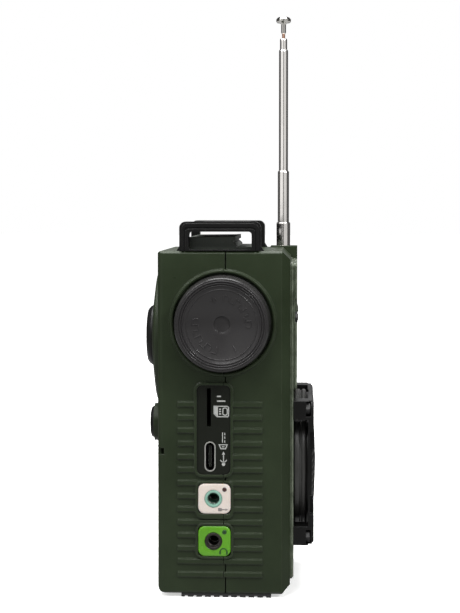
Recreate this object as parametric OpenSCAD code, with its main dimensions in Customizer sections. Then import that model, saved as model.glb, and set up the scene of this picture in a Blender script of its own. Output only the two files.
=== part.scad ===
// Portable field receiver: two-part case, side tuning wheel, telescopic antenna, guarded speaker,
// torch in the back, and the controls, boards and battery inside.
// X runs from the tuning side (negative) to the volume side, -Y is the front, Z is up.
// The origin is the middle of the surface that the base pad stands on.

/* [Case] */
// Width of the case, from the tuning side to the volume side
body_w = 52; // [51:0.5:54]
// Depth of the two shells, from the back face to the front face
body_d = 39.4; // [39:0.2:40.4]
// Height of the case without its base pad
body_h = 102.2; // [102:0.2:104]
// Thickness of the shell walls
wall = 2.2; // [1.8:0.1:2.4]
// Flat that is cut off the front edges of the case
edge_cut = 2.5; // [1.5:0.1:2.6]
// Thickness of the base pad
foot_h = 1.2; // [0.8:0.05:1.6]
// How far the front panel stands out of the front shell
panel_t = 1.0; // [0.8:0.1:1.2]
// How far the dial bezel stands out of the front panel
bezel_t = 1.0; // [0.8:0.1:1.2]
// Distance from the middle of the case to the seam of the two shells
seam_y = -0.55; // [-0.8:0.05:-0.4]

/* [Tuning wheel] */
// Radius of the tuning wheel at its foot
wheel_r = 14.3; // [14:0.1:14.5]
// How far the tuning wheel stands out of the case
wheel_h = 9.0; // [7:0.5:11]
// Height of the wheel's axis above the foot of the case
wheel_z = 80.9; // [80:0.1:82]
// Teeth of the pinion that drives the dial pointer
pinion_teeth = 18; // [18:1:18]
// Tooth module of the pinion and the rack
tooth_module = 0.4; // [0.4:0.05:0.4]

/* [Ribs] */
// Number of raised ribs down each side
rib_count = 14; // [10:1:14]
// Distance from one rib to the next
rib_pitch = 3.91; // [3.8:0.01:3.95]
// Height of one rib
rib_w = 1.78; // [1.4:0.02:2]
// How far the ribs stand out of the side
rib_out = 0.55; // [0.4:0.05:0.8]

/* [Antenna] */
// Outer radii of the four sliding tubes
tube_r = [2.26, 1.85, 1.49, 1.18];
// Wall thickness of the tubes
tube_wall = 0.31; // [0.25:0.01:0.31]
// Heights of the four tube tops above the foot of the case
tube_top = [110.3, 127.1, 166.6, 170.2];
// Lengths of the four tubes
tube_len = [80, 78, 76, 74];

/* [Speaker] */
// Radius of the speaker drum
drum_r = 22.2; // [21:0.1:22.4]
// Height of the speaker's axis above the foot of the case
drum_z = 35.8; // [35:0.1:36.5]
// Half the width of the guard
guard_x = 23.2; // [23:0.1:23.6]
// Half the height of the guard
guard_z = 21.6; // [21:0.1:22]
// Distance from the front panel to the front of the guard
guard_out = 6.1; // [5:0.1:6.4]

/* [Hidden] */
$fn = 64;
fine = 0.01;
half_w = body_w / 2;
half_d = body_d / 2;
side_x = -half_w;
front_y = -half_d;
panel_y = front_y - panel_t;
bezel_y = panel_y - bezel_t;
guard_y = panel_y - guard_out;
seam_gap = 0.15;
jog_y = 0;
lip_out = 0.75;
ring_out = 1.1;
ring_r = 15.95;
ring_gap = 0.5;
wheel_y = 0.2;
case_bottom = foot_h;
case_top = foot_h + body_h;
inner_x = half_w - wall;
inner_y = half_d - wall;
inner_z0 = case_bottom + wall;
inner_z1 = case_top - wall;
shaft_r = 2;
pitch_r = pinion_teeth * tooth_module / 2;
tooth_pitch = PI * tooth_module;
rack_x = -10;
ant_x = half_w - 4.5;
ant_y = -17.1;
sleeve_r = 2.6;
tube_gap = 0.1;
column_w = 8.7;
column_bottom = 60;
jack_y = 3;
jack_r = 1.8;
jack_len = 14;
collar_r = 2.55;
aux_z = 28.65;
phones_z = 15.95;
plate_w = 9.8;
plate_h = 9.15;
plate_y = 2.7;
plate_r = 1.5;
port_y = 2.95;
port_z = 49.15;
port_w = 9.85;
port_h = 26.5;
slot_y = 4.35;
slot_z = 55.85;
usb_y = 4;
usb_z = 41.2;
usb_w = 3.26;
usb_h = 8.94;
torch_z = 75;
torch_r = 21.4;
lamp_r = 9.45;
push_z = 47.6;
push_r = 5.05;
door_x = 18.5;
door_z0 = 4.2;
door_z1 = 40.6;
hinge_y = half_d - 1.2;
hinge_z = 5.4;
key_z = [57, 47.5, 38];
key_w = 11;
key_h = 5.4;
bolt_z = 82.4;
bolt_x = [-21.1, 15.1];
bolt_r = 0.9;
guard_bolt_x = 21.2;
guard_bolt_z = 19.2;
board_y = -0.5;
board_t = 1.2;
board_x = 20.6;
board_screw_z = [22.3, 65.8];
post_x = 21.4;
post_z = [8, 97];
screw_r = 1.05;
green = "#2f3a2c";
black = "#2a2a29";
steel = "#b9b8b2";

// Height above the foot of the case, as a height above the ground.
function up(h) = foot_h + h;

// Plain block between two corners.
module block(x0, x1, y0, y1, z0, z1) {
    translate([x0, y0, z0]) cube([x1 - x0, y1 - y0, z1 - z0]);
}

// Flat shape drawn in Y and Z, thickened along X.
module along_x(x0, x1) {
    translate([x0, 0, 0]) rotate([90, 0, 90]) linear_extrude(x1 - x0) children();
}

// Flat shape drawn in X and Z, thickened along Y.
module along_y(y0, y1) {
    translate([0, y1, 0]) rotate([90, 0, 0]) linear_extrude(y1 - y0) children();
}

// Round bar along each axis.
module rod_x(r, x0, x1, y, z) {
    translate([x0, y, z]) rotate([0, 90, 0]) cylinder(r = r, h = x1 - x0);
}
module rod_y(r, y0, y1, x, z) {
    translate([x, y1, z]) rotate([90, 0, 0]) cylinder(r = r, h = y1 - y0);
}
module rod_z(r, z0, z1, x, y) {
    translate([x, y, z0]) cylinder(r = r, h = z1 - z0);
}

// Rectangle with round corners about its own middle.
module round_rect(w, h, r) {
    square([w - 2 * r, h], center = true);
    square([w, h - 2 * r], center = true);
    for (sx = [-1, 1], sy = [-1, 1])
        translate([sx * (w / 2 - r), sy * (h / 2 - r)]) circle(r);
}

// Profile turned about an axis along Y, drawn as [radius, distance towards the front].
module turned_y(x, y, z) {
    translate([x, y, z]) rotate([90, 0, 0]) rotate_extrude() children();
}

// Profile turned about an axis along X, drawn as [radius, distance outwards], on the tuning side.
module turned_left(y, z) {
    translate([side_x, y, z]) rotate([0, -90, 0]) rotate_extrude() children();
}
module turned_right(y, z) {
    translate([half_w, y, z]) rotate([0, 90, 0]) rotate_extrude() children();
}

// ---------------------------------------------------------------- case

// Outline of the case from the side, cut back by g all round.
module side_outline(g) {
    c = edge_cut;
    r = 2.4;
    k = 1.1;
    polygon([
        [front_y + g, up(c) + g / 2],
        [front_y + c + g / 2, up(g)],
        [half_d - r, up(g)],
        [half_d - g, up(r)],
        [half_d - g, case_top - k],
        [half_d - k, case_top - g],
        [front_y + c + g / 2, case_top - g],
        [front_y + g, case_top - c - g / 2]
    ]);
    translate([half_d - r, up(r)]) circle(r - g);
    translate([half_d - k, case_top - k]) circle(k - min(g, k / 2));
}

// Outline of the case from above.
module plan_outline() {
    c = edge_cut;
    r = 1.6;
    polygon([
        [-half_w, front_y + c],
        [-half_w + c, front_y],
        [half_w - c, front_y],
        [half_w, front_y + c],
        [half_w, half_d - r],
        [half_w - r, half_d],
        [-half_w + r, half_d],
        [-half_w, half_d - r]
    ]);
    for (s = [-1, 1]) translate([s * (half_w - r), half_d - r]) circle(r);
}

// Outline of the case from the front.
module front_outline() {
    k = 0.7;
    polygon([
        [-half_w + k, case_bottom], [half_w - k, case_bottom], [half_w, up(k)],
        [half_w, case_top - k], [half_w - k, case_top], [-half_w + k, case_top],
        [-half_w, case_top - k], [-half_w, up(k)]
    ]);
}

module case_solid() {
    intersection() {
        along_x(-half_w, half_w) side_outline(0);
        translate([0, 0, case_bottom]) linear_extrude(body_h) plan_outline();
        along_y(-half_d, half_d) front_outline();
    }
}

module cavity() {
    block(-inner_x, inner_x, -inner_y, inner_y, inner_z0, inner_z1);
}

// Shallow groove that marks the seam all round the case.
module seam_groove() {
    g = 0.2;
    deep = 0.4;
    difference() {
        block(-half_w - 1, half_w + 1, seam_y - g, seam_y + g, case_bottom - 1, case_top + 1);
        block(-half_w + deep, half_w - deep, seam_y - 1, seam_y + 1, case_bottom + deep,
            case_top - deep);
    }
}

// One rib of the row on a side, with sloping flanks.
module rib(z) {
    slope = 0.22;
    translate([0, 13.65, 0]) rotate([90, 0, 0]) linear_extrude(25.15)
        polygon([
            [side_x + 0.1, z - rib_w / 2], [side_x - rib_out, z - rib_w / 2 + slope],
            [side_x - rib_out, z + rib_w / 2 - slope], [side_x + 0.1, z + rib_w / 2]
        ]);
}

module rib_row() {
    for (i = [0 : rib_count - 1]) rib(up(56.7 - i * rib_pitch));
}

// Raised lip round a panel on the tuning side.
module lip(y, z, w, h, r, rim) {
    along_x(side_x - lip_out, side_x + 0.1)
        translate([y, up(z)]) round_rect(w + 2 * rim, h + 2 * rim, r + rim);
}

// Everything that stands out of the tuning side, as one piece across the seam.
module side_relief() {
    clear = 0.06;
    difference() {
        union() {
            rib_row();
            lip(port_y, port_z, port_w, port_h, 1.6, 0.85);
            lip(plate_y, aux_z - 0.35, plate_w, plate_h + 0.7, plate_r, 0.75);
            lip(plate_y, phones_z, plate_w, plate_h, plate_r, 0.75);
            turned_left(wheel_y, up(wheel_z))
                polygon([
                    [ring_r - 1.7, -0.1], [ring_r, -0.1], [ring_r, ring_out - 0.45],
                    [ring_r - 0.35, ring_out], [ring_r - 0.85, ring_out],
                    [ring_r - 1.15, ring_out - 0.3], [ring_r - 1.15, -0.1]
                ]);
        }
        panel_holes(clear);
    }
}

// Openings for the port panel and the two jack plates.
module panel_holes(clear) {
    along_x(side_x - 2, side_x + wall + 1) {
        translate([port_y, up(port_z)]) round_rect(port_w + 2 * clear, port_h + 2 * clear, 1.6);
        for (z = [aux_z, phones_z])
            translate([plate_y, up(z)])
                round_rect(plate_w + 2 * clear, plate_h + 2 * clear, plate_r);
    }
}

// Openings in the tuning side: the wheel well, its shaft hole and the panel openings.
module side_openings() {
    rod_x(ring_r - 1.15, side_x - 2, side_x + 1.1, wheel_y, up(wheel_z));
    rod_x(shaft_r + 0.3, side_x - 2, side_x + wall + 1, wheel_y, up(wheel_z));
    panel_holes(0.06);
}

// Openings in the volume side: the knob's shaft and the three keys.
module volume_side_openings() {
    rod_x(3.3, half_w - wall - 1, half_w + 2, wheel_y, up(wheel_z));
    for (z = key_z)
        along_x(half_w - wall - 1, half_w + 2)
            translate([wheel_y, up(z)]) round_rect(key_w + 0.6, key_h + 0.6, 1.5);
}

// Notch with a slanting hole for a wrist strap in each back edge.
module strap_notches() {
    for (s = [-1, 1]) {
        block(s * half_w - 1.6, s * half_w + 1.6, half_d - 0.9, half_d + 1, up(41.4), up(43.8));
        translate([s * half_w, half_d - 0.6, up(42.6)]) rotate([0, 0, s * 45])
            cube([9, 1.8, 1.9], center = true);
    }
}

// Room for the antenna column and the sleeve below it.
module antenna_room() {
    block(half_w - column_w - 0.05, half_w + 1, bezel_y - 1, -12.95, up(column_bottom) - 0.05,
        case_top + 2);
    rod_z(sleeve_r + 0.05, up(17.9), case_top, ant_x, ant_y);
}

module rear_shell() {
    color(green) difference() {
        union() {
            difference() {
                case_solid();
                cavity();
            }
            intersection() {
                side_relief();
                block(side_x - 3, 0, jog_y + seam_gap / 2, half_d, 0, case_top);
            }
            intersection() {
                mirror([1, 0, 0]) rib_row();
                block(0, half_w + 3, jog_y + 7, half_d, 0, case_top);
            }
            rod_y(5.9, half_d - wall, half_d + 3.3, 0, up(push_z));
            for (sx = [-1, 1], z = board_screw_z) {
                rod_y(2.2, board_y, half_d - 1, sx * board_x, up(z));
                block(sx * 22.4 - 1.6, sx * 22.4 + 1.6, board_y, half_d - 1, up(z - 0.6), up(z + 0.6));
            }
        }
        block(-half_w - 3, half_w + 3, -half_d - 3, seam_y + seam_gap / 2, -1, case_top + 2);
        seam_groove();
        side_openings();
        volume_side_openings();
        antenna_room();
        strap_notches();
        rod_y(lamp_r - 0.6, half_d - 3, half_d + 1, 0, up(torch_z));
        rod_y(push_r + 0.25, half_d - 3, half_d + 4, 0, up(push_z));
        for (sx = [-1, 1]) {
            for (z = board_screw_z) rod_y(screw_r + 0.02, -1, 7.2, sx * board_x, up(z));
            for (z = post_z) {
                rod_y(screw_r + 0.25, half_d - 4, half_d + 1, sx * post_x, up(z));
                rod_y(2.3, half_d - 1.4, half_d + 1, sx * post_x, up(z));
            }
        }
        block(-door_x - 0.3, door_x + 0.3, half_d - 3, half_d + 1, up(door_z0 - 0.6), up(door_z1 + 0.3));
    }
    color(green) for (s = [-1, 1])
        difference() {
            block(s * 15.4 - 1.2, s * 15.4 + 1.2, half_d - 2.5, half_d, up(3.2), up(6.9));
            rod_x(0.72, -20, 20, hinge_y, up(hinge_z));
        }
}

module front_shell() {
    color(green) difference() {
        union() {
            difference() {
                case_solid();
                cavity();
            }
            intersection() {
                side_relief();
                block(side_x - 3, 0, -half_d, jog_y - seam_gap / 2, 0, case_top);
            }
            intersection() {
                mirror([1, 0, 0]) rib_row();
                block(0, half_w + 3, -half_d, -7, 0, case_top);
            }
            for (sx = [-1, 1], z = post_z)
                block(sx * 22.8 - 1.6, sx * 22.8 + 1.6, -inner_y - 0.5, seam_y, up(z - 0.8), up(z + 0.8));
        }
        difference() {
            block(-half_w - 3, half_w + 3, seam_y - seam_gap / 2, half_d + 3, -1, case_top + 2);
            block(side_x - 3, side_x, seam_y - 1, jog_y, up(1), up(99));
        }
        seam_groove_behind_relief();
        side_openings();
        volume_side_openings();
        antenna_room();
        along_y(front_y - 1, front_y + wall + 1)
            translate([-2.9, up(81.5)]) round_rect(33, 26, 1.5);
        rod_y(18.6, front_y - 1, front_y + wall + 1, 0, up(drum_z));
        front_bolt_holes();
    }
    color(green) for (sx = [-1, 1], z = post_z)
        difference() {
            rod_y(2.3, -inner_y - 0.5, inner_y - 0.1, sx * post_x, up(z));
            rod_y(screw_r + 0.02, half_d - 10.4, half_d, sx * post_x, up(z));
            antenna_room();
        }
}

// Holes for the bezel bolts and the guard bolts.
module front_bolt_holes() {
    for (x = bolt_x) rod_y(bolt_r + 0.02, guard_y, front_y + 1, x, up(bolt_z));
    for (sx = [-1, 1], sz = [-1, 1])
        rod_y(bolt_r + 0.02, guard_y, front_y, sx * guard_bolt_x, up(drum_z + sz * guard_bolt_z));
}

// The same groove on the front shell, which stops where the relief crosses it.
module seam_groove_behind_relief() {
    difference() {
        seam_groove();
        block(side_x - 3, side_x, -2, 2, up(2), up(98));
    }
}

// Green panel that covers the whole front below the top edge.
module front_panel() {
    color(green) difference() {
        union() {
            along_y(panel_y + 0.35, front_y)
                translate([0, up(51.4)]) round_rect(46.8, 95, 1.4);
            along_y(panel_y, panel_y + 0.4)
                translate([0, up(51.4)]) round_rect(46.1, 94.3, 1.1);
        }
        along_y(panel_y - 1, front_y + 1)
            translate([-2.9, up(81.5)]) round_rect(33, 26, 1.5);
        rod_y(18.6, panel_y - 1, front_y + 1, 0, up(drum_z));
        front_bolt_holes();
        block(half_w - column_w - 0.05, half_w + 1, bezel_y - 1, 0, up(column_bottom) - 0.05,
            case_top + 2);
    }
}

// Raised frame round the dial, with a recess for each bolt in its outer edge.
module dial_bezel() {
    bezel_w = 40.2;
    bezel_x = -3.1;
    color(green) difference() {
        union() {
            along_y(bezel_y + 0.3, panel_y)
                translate([bezel_x, up(79.7)]) round_rect(bezel_w, 38.2, 1.6);
            along_y(bezel_y, bezel_y + 0.35)
                translate([bezel_x, up(79.7)]) round_rect(bezel_w - 0.7, 37.5, 1.3);
        }
        along_y(bezel_y - 1, panel_y + 1)
            translate([-2.9, up(81.5)]) round_rect(30.6, 23.6, 1.5);
        for (x = bolt_x) rod_y(1.9, bezel_y - 1, bezel_y + 0.6, x, up(bolt_z));
        front_bolt_holes();
        block(bezel_x - bezel_w / 2 - 1, bezel_x - bezel_w / 2 + 1.2, bezel_y - 1, bezel_y + 0.6,
            up(bolt_z - 1.6), up(bolt_z + 5.6));
    }
}
// Hexagon bolt with its head towards the front, its seat at y.
module hex_bolt(x, y, z, head_r, head_h, stem_l) {
    translate([x, y, z]) rotate([90, 0, 0]) cylinder(r = head_r, h = head_h, $fn = 6);
    rod_y(head_r * 0.6, y - head_h - 0.2, y, x, z);
    rod_y(bolt_r, y - head_h, y + stem_l, x, z);
}

module bezel_bolts() {
    color(steel) for (x = bolt_x)
        hex_bolt(x, bezel_y + 0.6, up(bolt_z), 1.65, 0.75, 2.2);
}

module dial_window() {
    color([0.75, 0.8, 0.78, 0.5]) along_y(panel_y + 0.05, panel_y + 0.9)
        translate([-2.9, up(81.5)]) round_rect(32.8, 25.8, 1.4);
}

module dial_plate() {
    color("#d8cfae") difference() {
        block(-21, 15.6, front_y + wall, front_y + wall + 0.6, up(68), up(94));
        block(rack_x - 1.2, rack_x + 1.2, front_y, 0, up(72.4), up(90.2));
    }
}

// ---------------------------------------------------------------- ports

module port_panel() {
    color("#2f312c") difference() {
        union() {
            along_x(side_x - 0.45, side_x + wall)
                translate([port_y, up(port_z)]) round_rect(port_w, port_h, 1.55);
            along_x(side_x + wall, side_x + wall + 0.8)
                translate([port_y, up(port_z)]) round_rect(port_w + 1.2, port_h + 1.2, 1.6);
        }
        block(side_x - 1, side_x + 5, slot_y - 0.6, slot_y + 0.6, up(slot_z - 5.7), up(slot_z + 5.7));
        along_x(side_x - 1, side_x + 5)
            translate([usb_y, up(usb_z)]) round_rect(usb_w + 0.1, usb_h + 0.1, usb_w / 2 - fine);
    }
}

module usb_socket() {
    skin = 0.32;
    color(steel) difference() {
        along_x(side_x - 0.5, side_x + 7.2)
            translate([usb_y, up(usb_z)]) round_rect(usb_w, usb_h, usb_w / 2 - fine);
        along_x(side_x - 1, side_x + 6.8)
            translate([usb_y, up(usb_z)])
                round_rect(usb_w - 2 * skin, usb_h - 2 * skin, usb_w / 2 - skin - fine);
    }
}

module usb_tongue() {
    color("#1c1c1c") block(side_x + 0.4, side_x + 6.8, usb_y - 0.35, usb_y + 0.35, up(usb_z - 3.3),
        up(usb_z + 3.3));
}

module card_socket() {
    color(steel) difference() {
        block(side_x + wall + 0.9, side_x + 17, 2.2, 5.6, up(slot_z - 6.6), up(slot_z + 6.6));
        block(side_x, side_x + 16, slot_y - 0.6, slot_y + 0.6, up(slot_z - 5.7), up(slot_z + 5.7));
    }
}

// Small board that carries the charging socket and the card socket, on a header block.
module port_board() {
    color("#1f4a2b") {
        difference() {
            block(side_x + wall + 0.9, side_x + 18, 1.2, 2.2, up(35), up(62.8));
            block(side_x + wall, side_x + 7.8, 1, 3, up(usb_z - 4.8), up(usb_z + 4.8));
        }
        block(side_x + 8.4, side_x + 16, board_y, 1.2, up(46), up(49));
    }
}

// Lit plate round one jack.
module jack_plate(z) {
    difference() {
        union() {
            along_x(side_x - 0.55, side_x + wall)
                translate([plate_y, up(z)]) round_rect(plate_w, plate_h, plate_r);
            along_x(side_x - 0.8, side_x - 0.5)
                translate([plate_y, up(z)]) round_rect(plate_w - 0.6, plate_h - 0.6, plate_r - 0.2);
            along_x(side_x + wall, side_x + wall + 0.8)
                translate([plate_y, up(z)]) round_rect(plate_w + 1, plate_h + 1, plate_r);
        }
        rod_x(collar_r + 0.05, side_x - 1, side_x + 5, jack_y, up(z));
        rod_x(0.68, side_x - 1, side_x + 5, -0.3, up(z + 2.8));
    }
}

module aux_plate() { color("#e8dcd4") jack_plate(aux_z); }
module phones_plate() { color("#6aa62c") jack_plate(phones_z); }

// Jack with a round collar and a blind bore.
module jack(z) {
    difference() {
        union() {
            rod_x(collar_r, side_x - 0.85, side_x + 3.2, jack_y, up(z));
            block(side_x + 3.2, side_x + 15, board_y, 6.8, up(z - 3.1), up(z + 3.1));
        }
        rod_x(jack_r, side_x - 2, side_x - 0.85 + jack_len, jack_y, up(z));
    }
}

module aux_jack() { color("#7fa08f") jack(aux_z); }
module phones_jack() { color("#3a3f38") jack(phones_z); }

module jack_lamps() {
    color("#5a3a38") for (z = [aux_z, phones_z])
        rod_x(0.66, side_x - 0.85, side_x + 2.9, -0.3, up(z + 2.8));
}

// ---------------------------------------------------------------- handle and console

// One end loop of the handle, a rounded frame with a stepped face.
module handle_loop() {
    loop_t = 5.2;
    loop_w = 24.2;
    loop_h = 8.7;
    loop_y = 1.1;
    cut_w = 18.7;
    translate([-half_w, 0, 0]) difference() {
        union() {
            along_x(0.55, loop_t) loop_outline(loop_y, loop_w, loop_h);
            along_x(0, 0.6) loop_outline(loop_y, loop_w - 1.1, loop_h - 0.55);
            along_x(1.2, loop_t - 0.6)
                polygon([
                    [loop_y - loop_w / 2 - 0.9, case_top], [loop_y + loop_w / 2 + 0.9, case_top],
                    [loop_y + loop_w / 2, case_top + 1.4], [loop_y - loop_w / 2, case_top + 1.4]
                ]);
        }
        along_x(-1, loop_t + 1)
            translate([loop_y, case_top + 3.05]) round_rect(cut_w, 5.3, 0.9);
        along_x(-1, 0.35) difference() {
            translate([loop_y, case_top + 2.6]) round_rect(cut_w + 2.9, 8.9, 1.2);
            translate([loop_y, case_top + 2.6]) round_rect(cut_w + 1.9, 7.9, 1);
        }
    }
}

// Arch outline with round upper corners, standing on the top of the case.
module loop_outline(y, w, h) {
    r = 1.9;
    translate([y - w / 2, case_top]) square([w, h - r]);
    translate([y - w / 2 + r, case_top]) square([w - 2 * r, h]);
    for (s = [-1, 1]) translate([y + s * (w / 2 - r), case_top + h - r]) circle(r);
}

module handle_left() { color(black) handle_loop(); }
module handle_right() { color(black) mirror([1, 0, 0]) handle_loop(); }

// Ribbed bar between the two loops.
module handle_grip() {
    inner = half_w - 5.2;
    color(black) difference() {
        along_x(-inner, inner) translate([1.1, case_top + 7.15]) round_rect(17, 2.7, 1.1);
        for (i = [-4 : 4])
            block(i * 4.4 - 0.35, i * 4.4 + 0.35, -12, 14, case_top + 8.1, case_top + 9);
    }
}

// Low console below the handle, with a sloping front end.
module top_console() {
    inner = half_w - 5.3;
    color(green) {
        block(-inner, inner, -8, 11.2, case_top, case_top + 1.1);
        along_x(-inner, inner)
            polygon([
                [10.9, case_top + 1], [10.9, case_top + 3.8], [10.4, case_top + 4.1],
                [-1.6, case_top + 4.2], [-3.2, case_top + 4.3], [-3.3, case_top + 3],
                [-2.4, case_top + 2.7], [-3.7, case_top + 1.6], [-3.7, case_top + 1]
            ]);
    }
}

// ---------------------------------------------------------------- antenna

module antenna_column() {
    color(green) difference() {
        union() {
            block(half_w - column_w, half_w - 0.5, bezel_y, -13, up(column_bottom), case_top + 0.5);
            block(half_w - column_w, half_w, bezel_y + 0.5, -13, up(column_bottom), case_top + 0.5);
        }
        rod_z(sleeve_r + 0.02, 0, case_top + 2, ant_x, ant_y);
    }
}

module antenna_sleeve() {
    color(steel) difference() {
        rod_z(sleeve_r, up(18), case_top + 0.5, ant_x, ant_y);
        rod_z(tube_r[0] + tube_gap, up(19), case_top + 2, ant_x, ant_y);
    }
}

// One sliding tube with a rolled top edge; the last one is closed by the tip.
module antenna_tube(i) {
    r = tube_r[i];
    top = up(tube_top[i]);
    bore = i < 3 ? tube_r[i + 1] + tube_gap : 0.55;
    color("silver") difference() {
        translate([ant_x, ant_y, top - tube_len[i]]) rotate_extrude()
            polygon([[0, 0], [r, 0], [r, tube_len[i] - 0.45], [r - 0.12, tube_len[i]], [0, tube_len[i]]]);
        rod_z(bore, top - tube_len[i] + 1, top + 1, ant_x, ant_y);
    }
}
module antenna_tube_1() { antenna_tube(0); }
module antenna_tube_2() { antenna_tube(1); }
module antenna_tube_3() { antenna_tube(2); }
module antenna_tube_4() { antenna_tube(3); }

// Pull-out tip: a thin neck, a collar and a mushroom cap.
module antenna_tip() {
    z = up(tube_top[3]);
    color("silver") translate([ant_x, ant_y, 0]) rotate_extrude()
        polygon([
            [0, z - 6], [0.5, z - 6], [0.5, z + 1.6], [0.8, z + 1.9], [0.8, z + 4.6], [1.1, z + 5.1],
            [2.1, z + 5.2], [2.4, z + 5.6], [2.4, z + 6.3], [1.9, z + 6.9], [0.9, z + 7.2], [0, z + 7.2]
        ]);
}

// ---------------------------------------------------------------- speaker

// Black guard: a front plate with a round window and four corner posts.
module speaker_guard() {
    plate_t = 1.7;
    post = 6.7;
    color(black) difference() {
        union() {
            along_y(guard_y + 0.45, guard_y + plate_t)
                translate([0, up(drum_z)]) round_rect(2 * guard_x, 2 * guard_z, 2.4);
            along_y(guard_y, guard_y + 0.5)
                translate([0, up(drum_z)]) round_rect(2 * guard_x - 1, 2 * guard_z - 1, 2);
            for (sx = [-1, 1], sz = [-1, 1])
                block(sx * (guard_x - post / 2) - post / 2, sx * (guard_x - post / 2) + post / 2,
                    guard_y + plate_t - 0.1, panel_y,
                    up(drum_z + sz * (guard_z - 2.8) - 2.8), up(drum_z + sz * (guard_z - 2.8) + 2.8));
        }
        rod_y(21.4, guard_y - 1, guard_y + plate_t + 0.5, 0, up(drum_z));
        rod_y(drum_r + 0.1, guard_y + plate_t - 0.2, panel_y + 1, 0, up(drum_z));
        for (s = [-1, 1])
            block(s * guard_x - 3, s * guard_x + 3, guard_y - 1, guard_y + plate_t - 0.5,
                up(drum_z - 12.4), up(drum_z + 12.4));
        for (sx = [-1, 1], sz = [-1, 1])
            block(sx * (guard_x - 0.5) - 3.5, sx * (guard_x - 0.5) + 3.5, guard_y + 0.9, guard_y + 2.4,
                up(drum_z + sz * guard_bolt_z - 2.2), up(drum_z + sz * guard_bolt_z + 2.2));
        front_bolt_holes();
    }
}

module guard_bolts() {
    color("#4a4a48") for (sx = [-1, 1], sz = [-1, 1])
        hex_bolt(sx * guard_bolt_x, guard_y + 2.4, up(drum_z + sz * guard_bolt_z), 1.85, 1.2, 4);
}

// Drum round the speaker, turned with two rounded rings.
module speaker_drum() {
    inner = 20.2;
    color(black) turned_y(0, panel_y, up(drum_z))
        polygon([
            [inner, 0], [drum_r - 0.5, 0], [drum_r, 0.4], [drum_r, 1.7], [drum_r - 0.4, 2.1],
            [drum_r - 0.4, 2.3], [drum_r, 2.7], [drum_r, 3.4], [drum_r - 0.5, 3.85],
            [20.9, 3.85], [20.9, 3.3], [inner, 3.3]
        ]);
}

// Low domed grille: a rim, rings and spokes that follow the dome.
module speaker_grille() {
    rim_r = 21.2;
    spokes = 12;
    color(black) {
        turned_y(0, panel_y - 3.9, up(drum_z)) {
            polygon([[20.3, 0], [rim_r, 0], [rim_r, 1.3], [20.3, 1.6]]);
            for (i = [0 : 5])
                translate([3.1 + i * 3.0, 2.15 - 0.045 * i * i]) square([0.9, 0.65]);
            translate([0, 2]) square([1.4, 0.85]);
        }
        for (i = [0 : spokes - 1])
            translate([0, panel_y - 3.9, up(drum_z)]) rotate([0, 360 / spokes * i, 0])
                rotate([0, 0, -90]) translate([0, 0, -0.4]) linear_extrude(0.8)
                    polygon([
                        [2.1, 0.6], [2.75, 0.6], [2.7, 6.5], [2.25, 12.5], [1.45, 18.5], [1.1, 20.8],
                        [0.5, 20.8], [0.85, 18.5], [1.65, 12.5], [2.1, 6.5]
                    ]);
    }
}

module speaker_basket() {
    color("#555") turned_y(0, panel_y, up(drum_z))
        polygon([
            [20.1, 3.0], [20.1, 1.9], [18.4, 1.9], [17.6, 0.6], [11.5, -6.2], [9, -6.2], [9, -5.2],
            [11, -5.2], [16.9, 1.4], [16.9, 3.0]
        ]);
}

module speaker_cone() {
    color("#1d1d1d") turned_y(0, panel_y, up(drum_z))
        polygon([
            [0, -2.2], [3.4, -3.1], [4.6, -4.2], [5.2, -4.2], [14.2, 2.2], [16.7, 2.6], [16.7, 2.1],
            [14.6, 1.6], [5.8, -4.8], [3.8, -4.8], [2.8, -3.8], [0, -2.8]
        ]);
}

module speaker_magnet() {
    color("#666") turned_y(0, panel_y, up(drum_z))
        polygon([
            [0, -13], [8.5, -13], [8.5, -6.9], [8.9, -6.3], [3.5, -6.3], [3.5, -5.2], [0, -5.2]
        ]);
}

// ---------------------------------------------------------------- boards and tuning

module main_board() {
    color("#1f4a2b") difference() {
        block(-23, 23, board_y - board_t, board_y, up(12), up(68.4));
        block(16.6, 24, board_y - 2, board_y + 1, up(31), up(63.4));
        for (sx = [-1, 1], z = board_screw_z)
            rod_y(screw_r + 0.1, -3, 1, sx * board_x, up(z));
    }
}

// One screw with a flat head, its neck at y; its point is behind the neck where s is 1.
module screw(x, y, z, s) {
    translate([x, y, z]) rotate([-90 * s, 0, 0]) rotate_extrude()
        polygon([[0, -1.1], [1.7, -1.1], [2, -0.8], [2, 0], [screw_r, 0], [screw_r, 7], [0, 8.4]]);
}

// Four screws hold the board and four more, put in from the back, hold the two shells together.
module screws() {
    color(steel) for (sx = [-1, 1]) {
        for (z = board_screw_z) screw(sx * board_x, board_y - board_t, up(z), 1);
        for (z = post_z) screw(sx * post_x, half_d - 1.4, up(z), -1);
    }
}

module tuning_capacitor() {
    color("#cfc8b4") difference() {
        union() {
            block(2, 16, wheel_y - 10, wheel_y + 10, up(wheel_z - 10), up(wheel_z + 9.2));
            rod_x(4.4, 0.8, 2, wheel_y, up(wheel_z));
        }
        rod_x(shaft_r + 0.06, 0, 6, wheel_y, up(wheel_z));
    }
}

// Tuning wheel: a dished face with fine ridges near its edge and a small centre recess.
module tuning_knob() {
    foot = -0.8;
    h = wheel_h;
    color(black) turned_left(wheel_y, up(wheel_z))
        polygon([
            [shaft_r + 0.02, foot], [wheel_r - 0.2, foot], [wheel_r, foot + 0.3],
            [wheel_r, 0.6], [wheel_r - 0.5, h - 1.2], [wheel_r - 0.9, h - 0.5],
            [wheel_r - 1.5, h - 0.1], [wheel_r - 2.2, h], [wheel_r - 3.6, h - 0.5],
            [wheel_r - 4.1, h - 0.8], [wheel_r - 7, h - 2], [2.5, h - 2.9], [2.4, h - 3.5], [0, h - 3.5],
            [0, 1], [shaft_r + 0.02, 1]
        ]);
}

module tuning_shaft() {
    color(steel) rod_x(shaft_r, side_x - 0.95, 5, wheel_y, up(wheel_z));
}

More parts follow.
